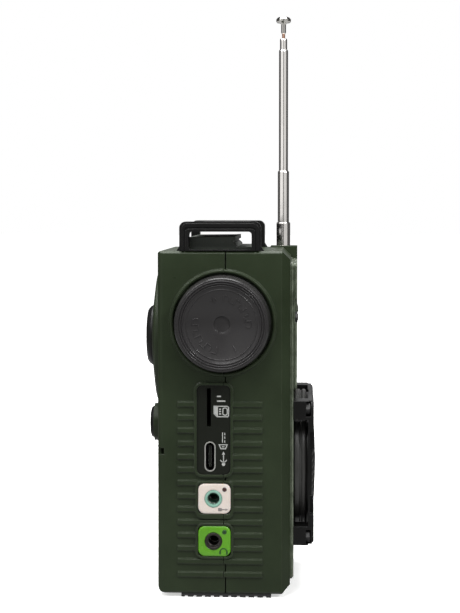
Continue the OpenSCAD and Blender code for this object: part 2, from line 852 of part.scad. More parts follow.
// Straight-sided teeth, thin enough to run clear of the rack.
module drive_pinion() {
    color("#d9d4c4") difference() {
        along_x(rack_x - 1.8, rack_x + 1.8) translate([wheel_y, up(wheel_z)]) {
            circle(pitch_r - 0.45);
            for (i = [0 : pinion_teeth - 1])
                rotate(360 / pinion_teeth * (i + 0.5))
                    polygon([
                        [2.9, -0.3], [pitch_r, -0.2], [pitch_r + 0.34, -0.09],
                        [pitch_r + 0.34, 0.09], [pitch_r, 0.2], [2.9, 0.3]
                    ]);
        }
        rod_x(shaft_r + 0.02, -20, 0, wheel_y, up(wheel_z));
    }
}

// Carriage with a rack, a guide bore and the pointer bar in front of the dial.
module pointer_carriage() {
    pitch_y = wheel_y - pitch_r;
    half_l = 9.6;
    color("#c63a25") difference() {
        union() {
            block(rack_x - 1.6, rack_x + 1.6, -14.2, pitch_y - 0.55, up(wheel_z - half_l),
                up(wheel_z + half_l));
            along_x(rack_x - 1.6, rack_x + 1.6)
                for (i = [-7 : 7])
                    translate([pitch_y, up(wheel_z) + i * tooth_pitch])
                        polygon([[-0.6, -0.34], [0, -0.18], [0.32, -0.08], [0.32, 0.08], [0, 0.18], [-0.6, 0.34]]);
            block(rack_x - 0.8, rack_x + 0.8, front_y + 0.6, -14, up(wheel_z - 0.4), up(wheel_z + 0.4));
            block(-17, 11.4, front_y + 0.5, front_y + 1.1, up(wheel_z - 0.4), up(wheel_z + 0.4));
        }
        rod_z(1.08, up(wheel_z - 12), up(wheel_z + 12), rack_x, -11);
    }
}

module pointer_guide() {
    color(steel) {
        rod_z(1, up(61), inner_z1, rack_x, -11);
        block(rack_x - 2, rack_x + 2, -inner_y, -9, up(60), up(61.2));
    }
}

// Ferrite rod with its two windings.
module ferrite_antenna() {
    color("#4b4743") rod_x(2.6, -17, 17, 9, up(95.4));
    color("#a5662f") for (x = [-14, 6])
        difference() {
            rod_x(3.2, x, x + 8, 9, up(95.4));
            rod_x(2.62, x - 1, x + 9, 9, up(95.4));
        }
}

module volume_control() {
    color("#8d8b84") difference() {
        union() {
            rod_x(7.8, 17, 22.6, wheel_y, up(wheel_z));
            rod_x(3.2, 22.6, half_w + 0.3, wheel_y, up(wheel_z));
        }
        rod_x(1.96, 18, half_w + 1, wheel_y, up(wheel_z));
    }
}

module volume_knob() {
    r = 10.6;
    color(black) {
        difference() {
            turned_right(wheel_y, up(wheel_z))
                polygon([
                    [0, 0.45], [r - 0.3, 0.45], [r, 0.8], [r - 0.3, 5.6], [r - 0.9, 6.4], [r - 2, 6.6],
                    [r - 3, 6.2], [1.9, 5.3], [1.8, 4.9], [0, 4.9]
                ]);
            for (a = [0 : 15 : 345])
                translate([half_w, wheel_y, up(wheel_z)]) rotate([a, 0, 0])
                    translate([0, 0, r + 0.15]) rotate([0, 90, 0]) cylinder(r = 0.5, h = 9);
        }
        rod_x(1.9, 18.6, half_w + 0.6, wheel_y, up(wheel_z));
    }
}

// Board behind the three keys, with one switch for each.
module key_board() {
    color("#1f4a2b") block(17.4, 18.4, -9, 9.4, up(32), up(63));
    color("#333") for (z = key_z) block(18.4, 21.6, wheel_y - 3, wheel_y + 3, up(z - 2.4), up(z + 2.4));
}

module key(z) {
    color(black) {
        along_x(half_w - wall - 0.4, half_w + 1)
            translate([wheel_y, up(z)]) round_rect(key_w, key_h, 1.2);
        along_x(half_w + 0.9, half_w + 1.3)
            translate([wheel_y, up(z)]) round_rect(key_w - 0.8, key_h - 0.8, 0.9);
        rod_x(1.1, 22.4, half_w - wall, wheel_y, up(z));
    }
}
module key_back() { key(key_z[2]); }
module key_play() { key(key_z[1]); }
module key_next() { key(key_z[0]); }

// ---------------------------------------------------------------- battery

module battery_tray() {
    color("#30302e") difference() {
        block(-17.8, 17.8, 10.2, 17.2, up(5.6), up(40.4));
        block(-16.7, 16.7, 11.2, 18, up(6.7), up(39.3));
    }
}

module battery_pack() {
    color("#2e5f8a") along_y(11.3, 16.9)
        translate([0, up(23)]) round_rect(33, 32, 1.5);
}

// Door over the battery; it tips out about the pin in its lower edge.
module battery_door() {
    color(green) difference() {
        union() {
            along_y(half_d - 1.7, half_d + 0.2)
                translate([0, up((door_z0 + 1.6 + door_z1) / 2)])
                    round_rect(2 * door_x, door_z1 - door_z0 - 1.6, 1.2);
            rod_x(1.3, -13.6, 13.6, hinge_y, up(hinge_z));
            for (i = [0 : 5])
                block(-8, 8, half_d + 0.1, half_d + 0.7, up(31.2 + i * 1.3), up(31.8 + i * 1.3));
        }
        rod_x(0.76, -20, 20, hinge_y, up(hinge_z));
        for (s = [-1, 1])
            block(s * 15.4 - 1.5, s * 15.4 + 1.5, half_d - 3, half_d + 1, up(3), up(7.7));
    }
}

module door_pin() {
    color(steel) rod_x(0.7, -16.4, 16.4, hinge_y, up(hinge_z));
}

// ---------------------------------------------------------------- torch

// Crowned disc round the torch.
module torch_housing() {
    color(green) turned_y(0, half_d, up(torch_z)) mirror([0, 1])
        polygon([
            [lamp_r + 0.1, 0], [torch_r, 0], [torch_r, 1.3], [torch_r - 0.5, 1.9], [17, 2.4],
            [13, 2.95], [lamp_r + 0.1, 3.35]
        ]);
}

// Black lamp body with the reflector bowl, its rim standing out of the housing.
module torch_lamp() {
    color(black) turned_y(0, half_d, up(torch_z)) mirror([0, 1])
        polygon([
            [0, -8.4], [8.6, -8.4], [8.6, 0], [lamp_r, 0], [lamp_r, 3.8], [lamp_r - 0.5, 4.6],
            [lamp_r - 1.3, 5.2], [7.6, 5.3], [7.2, 4.9], [7.2, 3.5], [6.6, 3.3], [4.4, -3], [2.2, -6.6],
            [0, -7.2]
        ]);
}

module torch_lens() {
    color([0.85, 0.9, 0.9, 0.5]) turned_y(0, half_d, up(torch_z)) mirror([0, 1])
        polygon([[0, 3.6], [7.15, 3.6], [7.15, 4.3], [5, 4.6], [2.5, 4.75], [0, 4.8]]);
}

// Push switch, its cap and plunger on the back and its body inside.
module torch_switch() {
    color("#333") block(-4, 4, 9.6, 14.2, up(push_z - 4), up(push_z + 4));
}

module torch_button() {
    color(black) {
        turned_y(0, half_d, up(push_z)) mirror([0, 1])
            polygon([
                [0, -1], [push_r, -1], [push_r, 3.5], [push_r - 0.4, 4.2], [push_r - 1.2, 4.5], [0, 4.3]
            ]);
        rod_y(1.4, 15.8, half_d, 0, up(push_z));
    }
}

// Rubber pad under the case, with grooves across it.
module base_pad() {
    color("#222") difference() {
        block(-25.2, 25.2, -14.1, 12.7, 0, foot_h);
        for (i = [0 : 9])
            block(-26, 26, -12.6 + i * 2.6, -11.7 + i * 2.6, -1, 0.45);
    }
}

rear_shell();
front_shell();
front_panel();
dial_bezel();
dial_window();
dial_plate();
bezel_bolts();
port_panel();
usb_socket();
usb_tongue();
card_socket();
port_board();
aux_plate();
phones_plate();
aux_jack();
phones_jack();
jack_lamps();
handle_left();
handle_right();
handle_grip();
top_console();
antenna_column();
antenna_sleeve();
antenna_tube_1();
antenna_tube_2();
antenna_tube_3();
antenna_tube_4();
antenna_tip();
speaker_guard();
guard_bolts();
speaker_drum();
speaker_grille();
speaker_basket();
speaker_cone();
speaker_magnet();
main_board();
screws();
tuning_capacitor();
tuning_knob();
tuning_shaft();
drive_pinion();
pointer_carriage();
pointer_guide();
ferrite_antenna();
volume_control();
volume_knob();
key_board();
key_back();
key_play();
key_next();
battery_tray();
battery_pack();
battery_door();
door_pin();
torch_housing();
torch_lamp();
torch_lens();
torch_switch();
torch_button();
base_pad();
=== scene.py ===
import math

import bmesh
import bpy
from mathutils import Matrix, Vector

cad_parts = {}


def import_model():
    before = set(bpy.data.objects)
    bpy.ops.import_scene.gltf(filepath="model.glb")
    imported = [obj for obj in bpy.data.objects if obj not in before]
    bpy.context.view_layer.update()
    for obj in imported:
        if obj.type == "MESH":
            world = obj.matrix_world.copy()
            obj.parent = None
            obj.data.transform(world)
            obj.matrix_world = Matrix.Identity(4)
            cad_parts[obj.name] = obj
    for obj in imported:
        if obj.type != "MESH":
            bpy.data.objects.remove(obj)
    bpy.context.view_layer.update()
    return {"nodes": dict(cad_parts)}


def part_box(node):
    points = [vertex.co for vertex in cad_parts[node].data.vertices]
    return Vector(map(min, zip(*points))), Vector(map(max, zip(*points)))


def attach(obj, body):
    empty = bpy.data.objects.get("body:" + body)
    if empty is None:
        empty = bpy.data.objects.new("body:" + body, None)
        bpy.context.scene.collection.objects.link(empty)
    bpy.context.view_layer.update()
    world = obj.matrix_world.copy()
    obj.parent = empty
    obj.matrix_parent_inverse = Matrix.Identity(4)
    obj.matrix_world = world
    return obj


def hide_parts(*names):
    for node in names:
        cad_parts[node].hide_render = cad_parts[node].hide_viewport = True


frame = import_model()
nodes = frame["nodes"]
scene = bpy.context.scene

# Lengths are in millimetres, and heights are above the foot of the case.
MM = 0.001
FOOT = 1.2
PANEL_PROUD = 0.45
SIDE_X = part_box("port_panel")[0].x / MM + PANEL_PROUD
HALF_D = 19.7
PANEL_Y = -20.7
WHEEL_Y, WHEEL_Z = 0.2, 80.9
DRUM_Z = 35.8
TORCH_Z = 75.0
TORCH_KEY_Z = 47.6
JACK_Y = 3.0
AUX_Z, PHONES_Z = 28.65, 15.95
JACK_R = 1.795
USB_Z = 41.2
PLATE_H = 0.8
LAMP_SPLIT_Z = 22.15
TIP_NECK_Z = 171.65
# Depth in the USB socket past which its inside is painted dark as shade.
SOCKET_PAINTED_SHADE_X = SIDE_X - 0.38


# ------------------------------------------------------------------ materials

class Nodes:
    """A node material that is built up from small parts."""

    def __init__(self, name):
        self.m = bpy.data.materials.new(name)
        self.m.use_nodes = True
        self.t = self.m.node_tree
        self.t.nodes.clear()
        self.out = self.t.nodes.new("ShaderNodeOutputMaterial")
        self.b = self.t.nodes.new("ShaderNodeBsdfPrincipled")
        self.t.links.new(self.b.outputs[0], self.out.inputs[0])
        self.coord = self.t.nodes.new("ShaderNodeTexCoord").outputs["Object"]

    def link(self, a, b):
        self.t.links.new(a, b)

    def scaled(self, x, y, z):
        n = self.t.nodes.new("ShaderNodeMapping")
        n.inputs["Scale"].default_value = (x, y, z)
        self.link(self.coord, n.inputs["Vector"])
        return n.outputs[0]

    def noise(self, scale, detail=3.0, rough=0.55, vector=None):
        n = self.t.nodes.new("ShaderNodeTexNoise")
        n.inputs["Scale"].default_value = scale
        n.inputs["Detail"].default_value = detail
        n.inputs["Roughness"].default_value = rough
        self.link(vector or self.coord, n.inputs["Vector"])
        return n.outputs["Fac"]

    def spread(self, value, a, b, c, d):
        """Maps a to b onto c to d."""
        n = self.t.nodes.new("ShaderNodeMapRange")
        for i, x in zip((1, 2, 3, 4), (a, b, c, d)):
            n.inputs[i].default_value = x
        self.link(value, n.inputs[0])
        return n.outputs[0]

    def math(self, how, a, b):
        n = self.t.nodes.new("ShaderNodeMath")
        n.operation = how
        for i, x in enumerate((a, b)):
            if isinstance(x, (int, float)):
                n.inputs[i].default_value = x
            else:
                self.link(x, n.inputs[i])
        return n.outputs[0]

    def mix(self, fac, a, b):
        n = self.t.nodes.new("ShaderNodeMix")
        n.data_type = "RGBA"
        if isinstance(fac, (int, float)):
            n.inputs[0].default_value = fac
        else:
            self.link(fac, n.inputs[0])
        for i, x in zip((6, 7), (a, b)):
            if isinstance(x, tuple):
                n.inputs[i].default_value = (*x, 1)
            else:
                self.link(x, n.inputs[i])
        return n.outputs[2]

    def bevel(self, radius):
        n = self.t.nodes.new("ShaderNodeBevel")
        n.samples = 6
        n.inputs["Radius"].default_value = radius
        return n.outputs[0]

    def bump(self, height, strength, distance, normal=None):
        n = self.t.nodes.new("ShaderNodeBump")
        n.inputs["Strength"].default_value = strength
        n.inputs["Distance"].default_value = distance
        self.link(height, n.inputs["Height"])
        if normal is not None:
            self.link(normal, n.inputs["Normal"])
        return n.outputs[0]

    def edge(self, rounded, low, high):
        """1 where the rounded normal leaves the face's own normal, as it does along an edge."""
        g = self.t.nodes.new("ShaderNodeNewGeometry").outputs["Normal"]
        n = self.t.nodes.new("ShaderNodeVectorMath")
        n.operation = "DOT_PRODUCT"
        self.link(rounded, n.inputs[0])
        self.link(g, n.inputs[1])
        return self.spread(n.outputs["Value"], 1 - low, 1 - high, 0, 1)

    def axis(self, i):
        n = self.t.nodes.new("ShaderNodeSeparateXYZ")
        self.link(self.coord, n.inputs[0])
        return n.outputs[i]


def times(colour, factor):
    return tuple(c * factor for c in colour)


def moulded(name, colour, rough=0.5, grain=0.35, size=0.00022, mottle=0.16, wear_and_edge_highlight=0.5, radius=0.00025,
            wear_and_highlight_tint=None, spec=0.5, deep=0.0):
    """Moulded plastic: fine grain, cloudy tone and sheen, hair scratches, and lighter edges that are partly
    wear and partly painted highlight.
    """
    k = Nodes(name)
    cloud = k.noise(55, 5, 0.6)
    fine = k.noise(1 / size, 2, 0.5)
    marks = k.noise(2600, 2, 0.4, k.scaled(1, 0.12, 0.5))
    base = k.mix(k.spread(cloud, 0.3, 0.7, 0, 1), times(colour, 1 - mottle), times(colour, 1 + mottle))
    base = k.mix(k.spread(fine, 0.42, 0.66, 0, 0.35), base, times(colour, 0.72))
    rounded = k.bevel(radius)
    # Edges are mixed towards a lighter tint in noisy patches: partly wear and partly painted highlight on
    # rounded edges.
    if wear_and_edge_highlight:
        patchy = k.spread(k.noise(420, 4), 0.32, 0.62, 0.25, 1)
        edge = k.math("MULTIPLY", k.math("MULTIPLY", k.edge(rounded, 0.004, 0.12), patchy), wear_and_edge_highlight)
        base = k.mix(edge, base, wear_and_highlight_tint or tuple(min(1, c * 1.9 + 0.02) for c in colour))
    k.link(base, k.b.inputs["Base Color"])
    sheen = k.spread(cloud, 0.25, 0.75, rough - 0.07, rough + 0.07)
    scratches = k.spread(marks, 0.6, 0.85, 0, -0.04)
    k.link(k.math("ADD", sheen, scratches), k.b.inputs["Roughness"])
    k.link(k.bump(fine, grain, size * 0.3, rounded), k.b.inputs["Normal"])
    k.b.inputs["Specular IOR Level"].default_value = spec
    if deep:
        k.b.inputs["Subsurface Weight"].default_value = deep
        k.b.inputs["Subsurface Radius"].default_value = (0.0012, 0.001, 0.0008)
        k.b.inputs["Subsurface Scale"].default_value = 0.6
    return k.m


def metal(name, colour, rough=0.2, brushed=(1, 1, 1), brush=1500, strength=0.12, tarnish=0.25,
          metallic=1.0):
    """Plated or bare metal with drawing marks, faint tarnish and soft edges."""
    k = Nodes(name)
    drawn = k.noise(brush, 3, 0.6, k.scaled(*brushed))
    cloud = k.noise(130, 5, 0.65)
    base = k.mix(k.spread(cloud, 0.45, 0.75, 0, tarnish), colour, times(colour, 0.55))
    k.link(base, k.b.inputs["Base Color"])
    k.b.inputs["Metallic"].default_value = metallic
    k.link(k.math("ADD", k.spread(drawn, 0.3, 0.7, rough * 0.75, rough * 1.3),
                  k.spread(cloud, 0.5, 0.8, 0, 0.12)), k.b.inputs["Roughness"])
    k.link(k.bump(drawn, strength, 0.00001, k.bevel(0.0001)), k.b.inputs["Normal"])
    return k.m


def printed(name, colour):
    """Pad-printed ink with thin spots."""
    k = Nodes(name)
    thin = k.noise(2600, 3, 0.6)
    k.link(k.mix(k.spread(thin, 0.5, 0.8, 0, 0.5), colour, times(colour, 0.6)), k.b.inputs["Base Color"])
    k.link(k.spread(thin, 0.3, 0.7, 0.35, 0.6), k.b.inputs["Roughness"])
    k.link(k.bump(thin, 0.3, 0.00002), k.b.inputs["Normal"])
    return k.m


def clear(name, colour):
    """Clear moulded window with faint hair marks."""
    k = Nodes(name)
    k.b.inputs["Base Color"].default_value = (*colour, 1)
    k.b.inputs["Transmission Weight"].default_value = 1.0
    k.b.inputs["IOR"].default_value = 1.45
    marks = k.noise(700, 3, 0.5, k.scaled(0.05, 1, 1))
    k.link(k.spread(marks, 0.55, 0.8, 0.0, 0.05), k.b.inputs["Roughness"])
    k.link(k.bump(marks, 0.04, 0.00002), k.b.inputs["Normal"])
    return k.m


SHELL_GREEN = (0.0205, 0.030, 0.0143)
FINE = 0.00015
COARSE = 0.0004
KNOBBLY = 0.0006

M = {
    "green": moulded("shell_green", SHELL_GREEN, 0.34, grain=0.12, wear_and_edge_highlight=0.35, wear_and_highlight_tint=(0.07, 0.085, 0.06),
                     spec=0.18, radius=0.0005),
    # The console's green is greyer than the shell green, and lighter than it as painted light in place of
    # the light that the handle shades off the console.
    "deck_painted_light": moulded("shell_green_deck", (0.060, 0.070, 0.058), 0.34, grain=0.12, wear_and_edge_highlight=0.5,
                    wear_and_highlight_tint=(0.16, 0.18, 0.14), spec=0.3, radius=0.0005),
    # Front panel and dial bezel: the shell green with the strongest lighter edges, partly wear and partly
    # painted highlight along the bezel's rounded edges.
    "trim": moulded("shell_green_trim", SHELL_GREEN, 0.32, grain=0.1, wear_and_edge_highlight=1.0, wear_and_highlight_tint=(0.20, 0.23, 0.17),
                    spec=0.3, radius=0.0005),
    "knob": moulded("knob_black", (0.0275, 0.0262, 0.0265), 0.24, grain=0.05, spec=0.2, mottle=0.1,
                    wear_and_edge_highlight=0.3, radius=0.00012, size=FINE),
    "black": moulded("satin_black", (0.0062, 0.0062, 0.006), 0.34, grain=0.12, mottle=0.14, wear_and_edge_highlight=0.3,
                     radius=0.0003, wear_and_highlight_tint=(0.045, 0.045, 0.044), spec=0.16),
    "grip": moulded("grip_black", (0.0085, 0.0085, 0.0082), 0.6, grain=0.4, size=COARSE, spec=0.2,
                    radius=0.0004),
    # The drum's black is lighter than the other black parts: painted light standing in for the light on its
    # upper half.
    "drum": moulded("drum_black_painted_light", (0.036, 0.036, 0.034), 0.34, grain=0.1, wear_and_edge_highlight=0.3, radius=0.0006,
                    spec=0.35),
    "panel": moulded("panel_black", (0.0095, 0.011, 0.0078), 0.34, grain=0.08, spec=0.16, mottle=0.1,
                     wear_and_edge_highlight=0.3, radius=0.0001),
    "white": moulded("jack_plate_white", (0.74, 0.66, 0.60), 0.34, grain=0.08, mottle=0.04, wear_and_edge_highlight=0.0,
                     deep=0.35, radius=0.0002),
    "lime": moulded("jack_plate_green", (0.105, 0.33, 0.012), 0.3, grain=0.08, mottle=0.08, wear_and_edge_highlight=0.0,
                    deep=0.25, radius=0.0002),
    "teal": moulded("collar_teal", (0.22, 0.42, 0.33), 0.3, grain=0.05, mottle=0.08, wear_and_edge_highlight=0.0),
    "dark": moulded("collar_dark", (0.02, 0.018, 0.014), 0.35, spec=0.25, grain=0.1, mottle=0.1, wear_and_edge_highlight=0.2),
    "rubber": moulded("pad_rubber", (0.018, 0.018, 0.018), 0.75, grain=0.6, size=COARSE, wear_and_edge_highlight=0.2),
    "cone": moulded("cone_paper", (0.016, 0.016, 0.017), 0.85, grain=0.9, size=0.0005, mottle=0.3,
                    wear_and_edge_highlight=0.0),
    "card": moulded("dial_card", (0.70, 0.63, 0.46), 0.6, grain=0.2, size=COARSE, mottle=0.07, wear_and_edge_highlight=0.0),
    "cream": moulded("cream_plastic", (0.62, 0.57, 0.44), 0.4, wear_and_edge_highlight=0.0),
    "red": moulded("pointer_red", (0.55, 0.03, 0.02), 0.3, grain=0.05, wear_and_edge_highlight=0.0),
    "blue": moulded("sleeve_blue", (0.03, 0.11, 0.26), 0.3, grain=0.3, size=KNOBBLY, wear_and_edge_highlight=0.0),
    "board": moulded("solder_mask", (0.018, 0.085, 0.032), 0.3, grain=0.3, size=KNOBBLY, wear_and_edge_highlight=0.3,
                     wear_and_highlight_tint=(0.5, 0.3, 0.12)),
    "ferrite": moulded("ferrite", (0.05, 0.047, 0.045), 0.5, grain=0.6, size=COARSE),
    "tray": moulded("tray_black", (0.025, 0.025, 0.025), 0.5),
    "chrome": metal("antenna_chrome", (0.97, 0.94, 0.90), 0.12, (1, 1, 0.02), 2400, 0.010, tarnish=0.1),
    "steel": metal("bright_steel", (0.62, 0.61, 0.59), 0.28, (1, 0.05, 1), 2000),
    "nickel": metal("socket_nickel", (0.85, 0.85, 0.83), 0.42, metallic=0.55, tarnish=0.15),
    "basket": metal("basket_black", (0.022, 0.022, 0.022), 0.4, metallic=0.4),
    "mirror": metal("reflector", (0.93, 0.93, 0.92), 0.05, tarnish=0.05),
    "ink_white": printed("ink_white", (0.42, 0.43, 0.41)),
    "ink_grey": printed("ink_grey", (0.20, 0.18, 0.17)),
    "ink_green": printed("ink_green", (0.012, 0.055, 0.008)),
    "ink_black": printed("ink_black", (0.03, 0.03, 0.03)),
    "window": clear("dial_window", (0.9, 0.94, 0.92)),
    "lens": clear("torch_lens", (0.96, 0.98, 0.98)),
}


def step_at(k, axis, at, width, first, then):
    """Goes from first to then over a short width at a place along one axis, in millimetres."""
    return k.spread(k.axis(axis), at * MM, (at + width) * MM, first, then)


def lamp_material():
    """The upper lamp is a dull red and the lower one a dark green."""
    k = Nodes("jack_lamps")
    upper = step_at(k, 2, LAMP_SPLIT_Z + FOOT, 0.2, 0, 1)
    tone = k.noise(1800, 3)
    colour = k.mix(upper, (0.008, 0.05, 0.006), (0.055, 0.02, 0.018))
    k.link(k.mix(k.spread(tone, 0.4, 0.7, 0, 0.3), colour, (0.01, 0.01, 0.01)), k.b.inputs["Base Color"])
    k.link(k.spread(tone, 0.3, 0.7, 0.12, 0.26), k.b.inputs["Roughness"])
    return k.m


def tip_material():
    """Chrome with a bare copper-coloured neck."""
    k = Nodes("antenna_tip")
    low = step_at(k, 2, TIP_NECK_Z + FOOT, 0.3, 1, 0)
    cloud = k.noise(900, 3)
    colour = k.mix(low, (0.55, 0.54, 0.51), (0.72, 0.42, 0.30))
    k.link(k.mix(k.spread(cloud, 0.5, 0.8, 0, 0.3), colour, (0.45, 0.42, 0.4)), k.b.inputs["Base Color"])
    k.b.inputs["Metallic"].default_value = 1.0
    k.link(k.spread(cloud, 0.3, 0.7, 0.11, 0.18), k.b.inputs["Roughness"])
    k.link(k.bump(cloud, 0.05, 0.00001, k.bevel(0.00008)), k.b.inputs["Normal"])
    return k.m


def socket_with_painted_shade():
    """Bright along the rim, and dark inside as painted shade."""
    k = Nodes("usb_socket")
    # Deeper than this depth the socket's metal is painted near-black and made less metallic: painted shade
    # inside the socket.
    rim = step_at(k, 0, SOCKET_PAINTED_SHADE_X, 0.06, 1, 0)
    cloud = k.noise(900, 3)
    k.link(k.mix(rim, (0.012, 0.012, 0.012), (0.42, 0.42, 0.39)), k.b.inputs["Base Color"])
    k.link(k.math("MULTIPLY", rim, 0.5), k.b.inputs["Metallic"])
    k.link(k.spread(cloud, 0.3, 0.7, 0.3, 0.5), k.b.inputs["Roughness"])
    k.link(k.bump(cloud, 0.1, 0.00001, k.bevel(0.00008)), k.b.inputs["Normal"])
    return k.m


M["socket"] = socket_with_painted_shade()
M["lamps"] = lamp_material()
M["tip"] = tip_material()

NODE_MATERIALS = {
    "green": ["rear_shell", "front_shell", "antenna_column", "torch_housing", "battery_door"],
    "deck_painted_light": ["top_console"],
    "trim": ["front_panel", "dial_bezel"],
    "grip": ["handle_grip"],
    "black": ["handle_left", "handle_right", "speaker_guard", "torch_lamp", "speaker_grille",
              "torch_button"],
    "drum": ["speaker_drum"],
    "panel": ["port_panel", "usb_tongue", "key_back", "key_play", "key_next", "torch_switch"],
    "basket": ["bezel_bolts", "guard_bolts", "card_socket", "speaker_basket", "speaker_magnet"],
    "steel": ["screws", "door_pin", "pointer_guide", "tuning_shaft", "volume_control"],
    "chrome": ["antenna_sleeve", "antenna_tube_1", "antenna_tube_2", "antenna_tube_3", "antenna_tube_4"],
    "tip": ["antenna_tip"],
    "window": ["dial_window"],
    "lens": ["torch_lens"],
    "card": ["dial_plate"],
    "socket": ["usb_socket"],
    "board": ["port_board", "main_board", "key_board"],
    "white": ["aux_plate"],
    "lime": ["phones_plate"],
    "teal": ["aux_jack"],
    "dark": ["phones_jack"],
    "lamps": ["jack_lamps"],
    "knob": ["tuning_knob", "volume_knob"],
    "cone": ["speaker_cone"],
    "cream": ["tuning_capacitor", "drive_pinion"],
    "red": ["pointer_carriage"],
    "ferrite": ["ferrite_antenna"],
    "tray": ["battery_tray"],
    "blue": ["battery_pack"],
    "rubber": ["base_pad"],
}
for key, names in NODE_MATERIALS.items():
    for node in names:
        slots = nodes[node].data.materials
        slots.clear()
        slots.append(M[key])


# ------------------------------------------------------------------ mesh building

def left(u, v, h):
    """A point on the tuning side: u along Y, v above the case's foot, h outwards."""
    return (SIDE_X - h, u, v + FOOT)


def right(u, v, h):
    """The same on the volume knob's side."""
    return (-SIDE_X + h, u, v + FOOT)


def front(u, v, h):
    """A point on the front: u along X, h out of the front panel."""
    return (u, PANEL_Y - h, v + FOOT)


def back(u, v, h):
    """A point on the back: u along X, h out of the case."""
    return (u, HALF_D + h, v + FOOT)


BOX_FACES = [(0, 1, 3, 2), (4, 6, 7, 5), (0, 4, 5, 1), (2, 3, 7, 6), (1, 5, 7, 3), (0, 2, 6, 4)]


def band(a, b, n):
    """Faces between two rings of n points that start at a and at b."""
    return [(a + i, a + (i + 1) % n, b + (i + 1) % n, b + i) for i in range(n)]


def around(r, i, n):
    """Point i of n on a circle."""
    a = 2 * math.pi * i / n
    return r * math.cos(a), r * math.sin(a)


class Piece:
    """Collects solids in millimetres and makes one mesh object of them."""

    def __init__(self):
        self.v, self.f = [], []

    def add(self, verts, faces):
        n = len(self.v)
        self.v += verts
        self.f += [tuple(i + n for i in f) for f in faces]

    def turned(self, place, cu, cv, profile, segs=128, close=False):
        """Profile of (radius, height) turned about the axis through (cu, cv) of a side."""
        verts, faces, rings = [], [], []
        for r, h in profile:
            if r < 1e-6:
                rings.append([len(verts)])
                verts.append(place(cu, cv, h))
            else:
                rings.append(list(range(len(verts), len(verts) + segs)))
                for i in range(segs):
                    du, dv = around(r, i, segs)
                    verts.append(place(cu + du, cv + dv, h))
        pairs = list(zip(rings, rings[1:])) + ([(rings[-1], rings[0])] if close else [])
        for a, b in pairs:
            for i in range(segs):
                j = (i + 1) % segs
                if len(a) == 1:
                    faces.append((a[0], b[j], b[i]))
                elif len(b) == 1:
                    faces.append((a[i], a[j], b[0]))
                else:
                    faces.append((a[i], a[j], b[j], b[i]))
        self.add(verts, faces)
        return self

    def prism(self, place, outline, h0, h1):
        """A flat outline thickened from h0 to h1."""
        n = len(outline)
        verts = [place(u, v, h) for h in (h0, h1) for u, v in outline]
        self.add(verts, band(0, n, n) + [tuple(range(n)), tuple(range(n, 2 * n))])
        return self

    def ribbon(self, place, points, width, h0, h1, closed=False):
        """A line of even width drawn through points."""
        n = len(points)
        sides = []
        for i, (u, v) in enumerate(points):
            a = points[i - 1] if (i > 0 or closed) else points[i]
            b = points[(i + 1) % n] if (i < n - 1 or closed) else points[i]
            d1 = Vector((u - a[0], v - a[1]))
            d2 = Vector((b[0] - u, b[1] - v))
            d1 = d1.normalized() if d1.length > 1e-9 else d2.normalized()
            d2 = d2.normalized() if d2.length > 1e-9 else d1
            t = d1 + d2
            t = t.normalized() if t.length > 1e-6 else d1
            w = width / 2 / max(0.4, t.dot(d1))
            sides.append(((u - t.y * w, v + t.x * w), (u + t.y * w, v - t.x * w)))
        verts = []
        for p, q in sides:
            verts += [place(*p, h0), place(*q, h0), place(*q, h1), place(*p, h1)]
        faces = []
        for i in range(n if closed else n - 1):
            faces += band(4 * i, 4 * ((i + 1) % n), 4)
        if not closed:
            faces += [(0, 1, 2, 3), tuple(4 * (n - 1) + j for j in range(4))]
        self.add(verts, faces)
        return self

    def make(self, name, material, body="case", slot=None, replaces=(), angle=32):
        mesh = bpy.data.meshes.new(name)
        mesh.from_pydata([(x * MM, y * MM, z * MM) for x, y, z in self.v], [], self.f)
        b = bmesh.new()
        b.from_mesh(mesh)
        bmesh.ops.recalc_face_normals(b, faces=b.faces)
        b.to_mesh(mesh)
        b.free()
        mesh.shade_smooth()
        mesh.set_sharp_from_angle(angle=math.radians(angle))
        mesh.materials.append(M[material])
        o = bpy.data.objects.new(name, mesh)
        scene.collection.objects.link(o)
        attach(o, body)
        if replaces:
            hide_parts(*replaces)
        return o


def arc(cu, cv, r, a0, a1, n=16):
    return [(cu + r * math.cos(math.radians(a0 + (a1 - a0) * i / n)),
             cv + r * math.sin(math.radians(a0 + (a1 - a0) * i / n))) for i in range(n + 1)]


def circle(cu, cv, r, n=40):
    return arc(cu, cv, r, 0, 360, n)[:-1]


def rounded(cu, cv, w, h, r, n=8):
    pts = []
    for sx, sv, a in ((1, 1, 0), (-1, 1, 90), (-1, -1, 180), (1, -1, 270)):
        pts += arc(cu + sx * (w / 2 - r), cv + sv * (h / 2 - r), r, a, a + 90, n)
    return pts


def box_outline(u0, u1, v0, v1):
    return [(u0, v0), (u1, v0), (u1, v1), (u0, v1)]


# ------------------------------------------------------------------ tuning wheel

# Height of the wheel's rim above the side, and its hollow face as (radius, height).
H = 9.0
DISH = [(0.0, H - 3.5), (1.9, H - 3.5), (2.25, H - 3.42), (2.34, H - 3.2), (2.4, H - 2.95),
        (2.55, H - 2.85), (3.2, H - 2.8), (5.0, H - 2.55), (7.0, H - 2.15), (8.6, H - 1.72),
        (9.9, H - 1.3), (10.15, H - 1.2)]
RIDGES, RIDGE_STEP, RIDGE_HALF_W, RIDGE_H = 3, 0.66, 0.23, 0.24
RAISED_BARS, BAR_STEP = 8, 13


def dish_height(r):
    for (r0, h0), (r1, h1) in zip(DISH, DISH[1:]):
        if r0 <= r <= r1:
            return h0 + (h1 - h0) * (r - r0) / (r1 - r0)
    return DISH[-1][1]


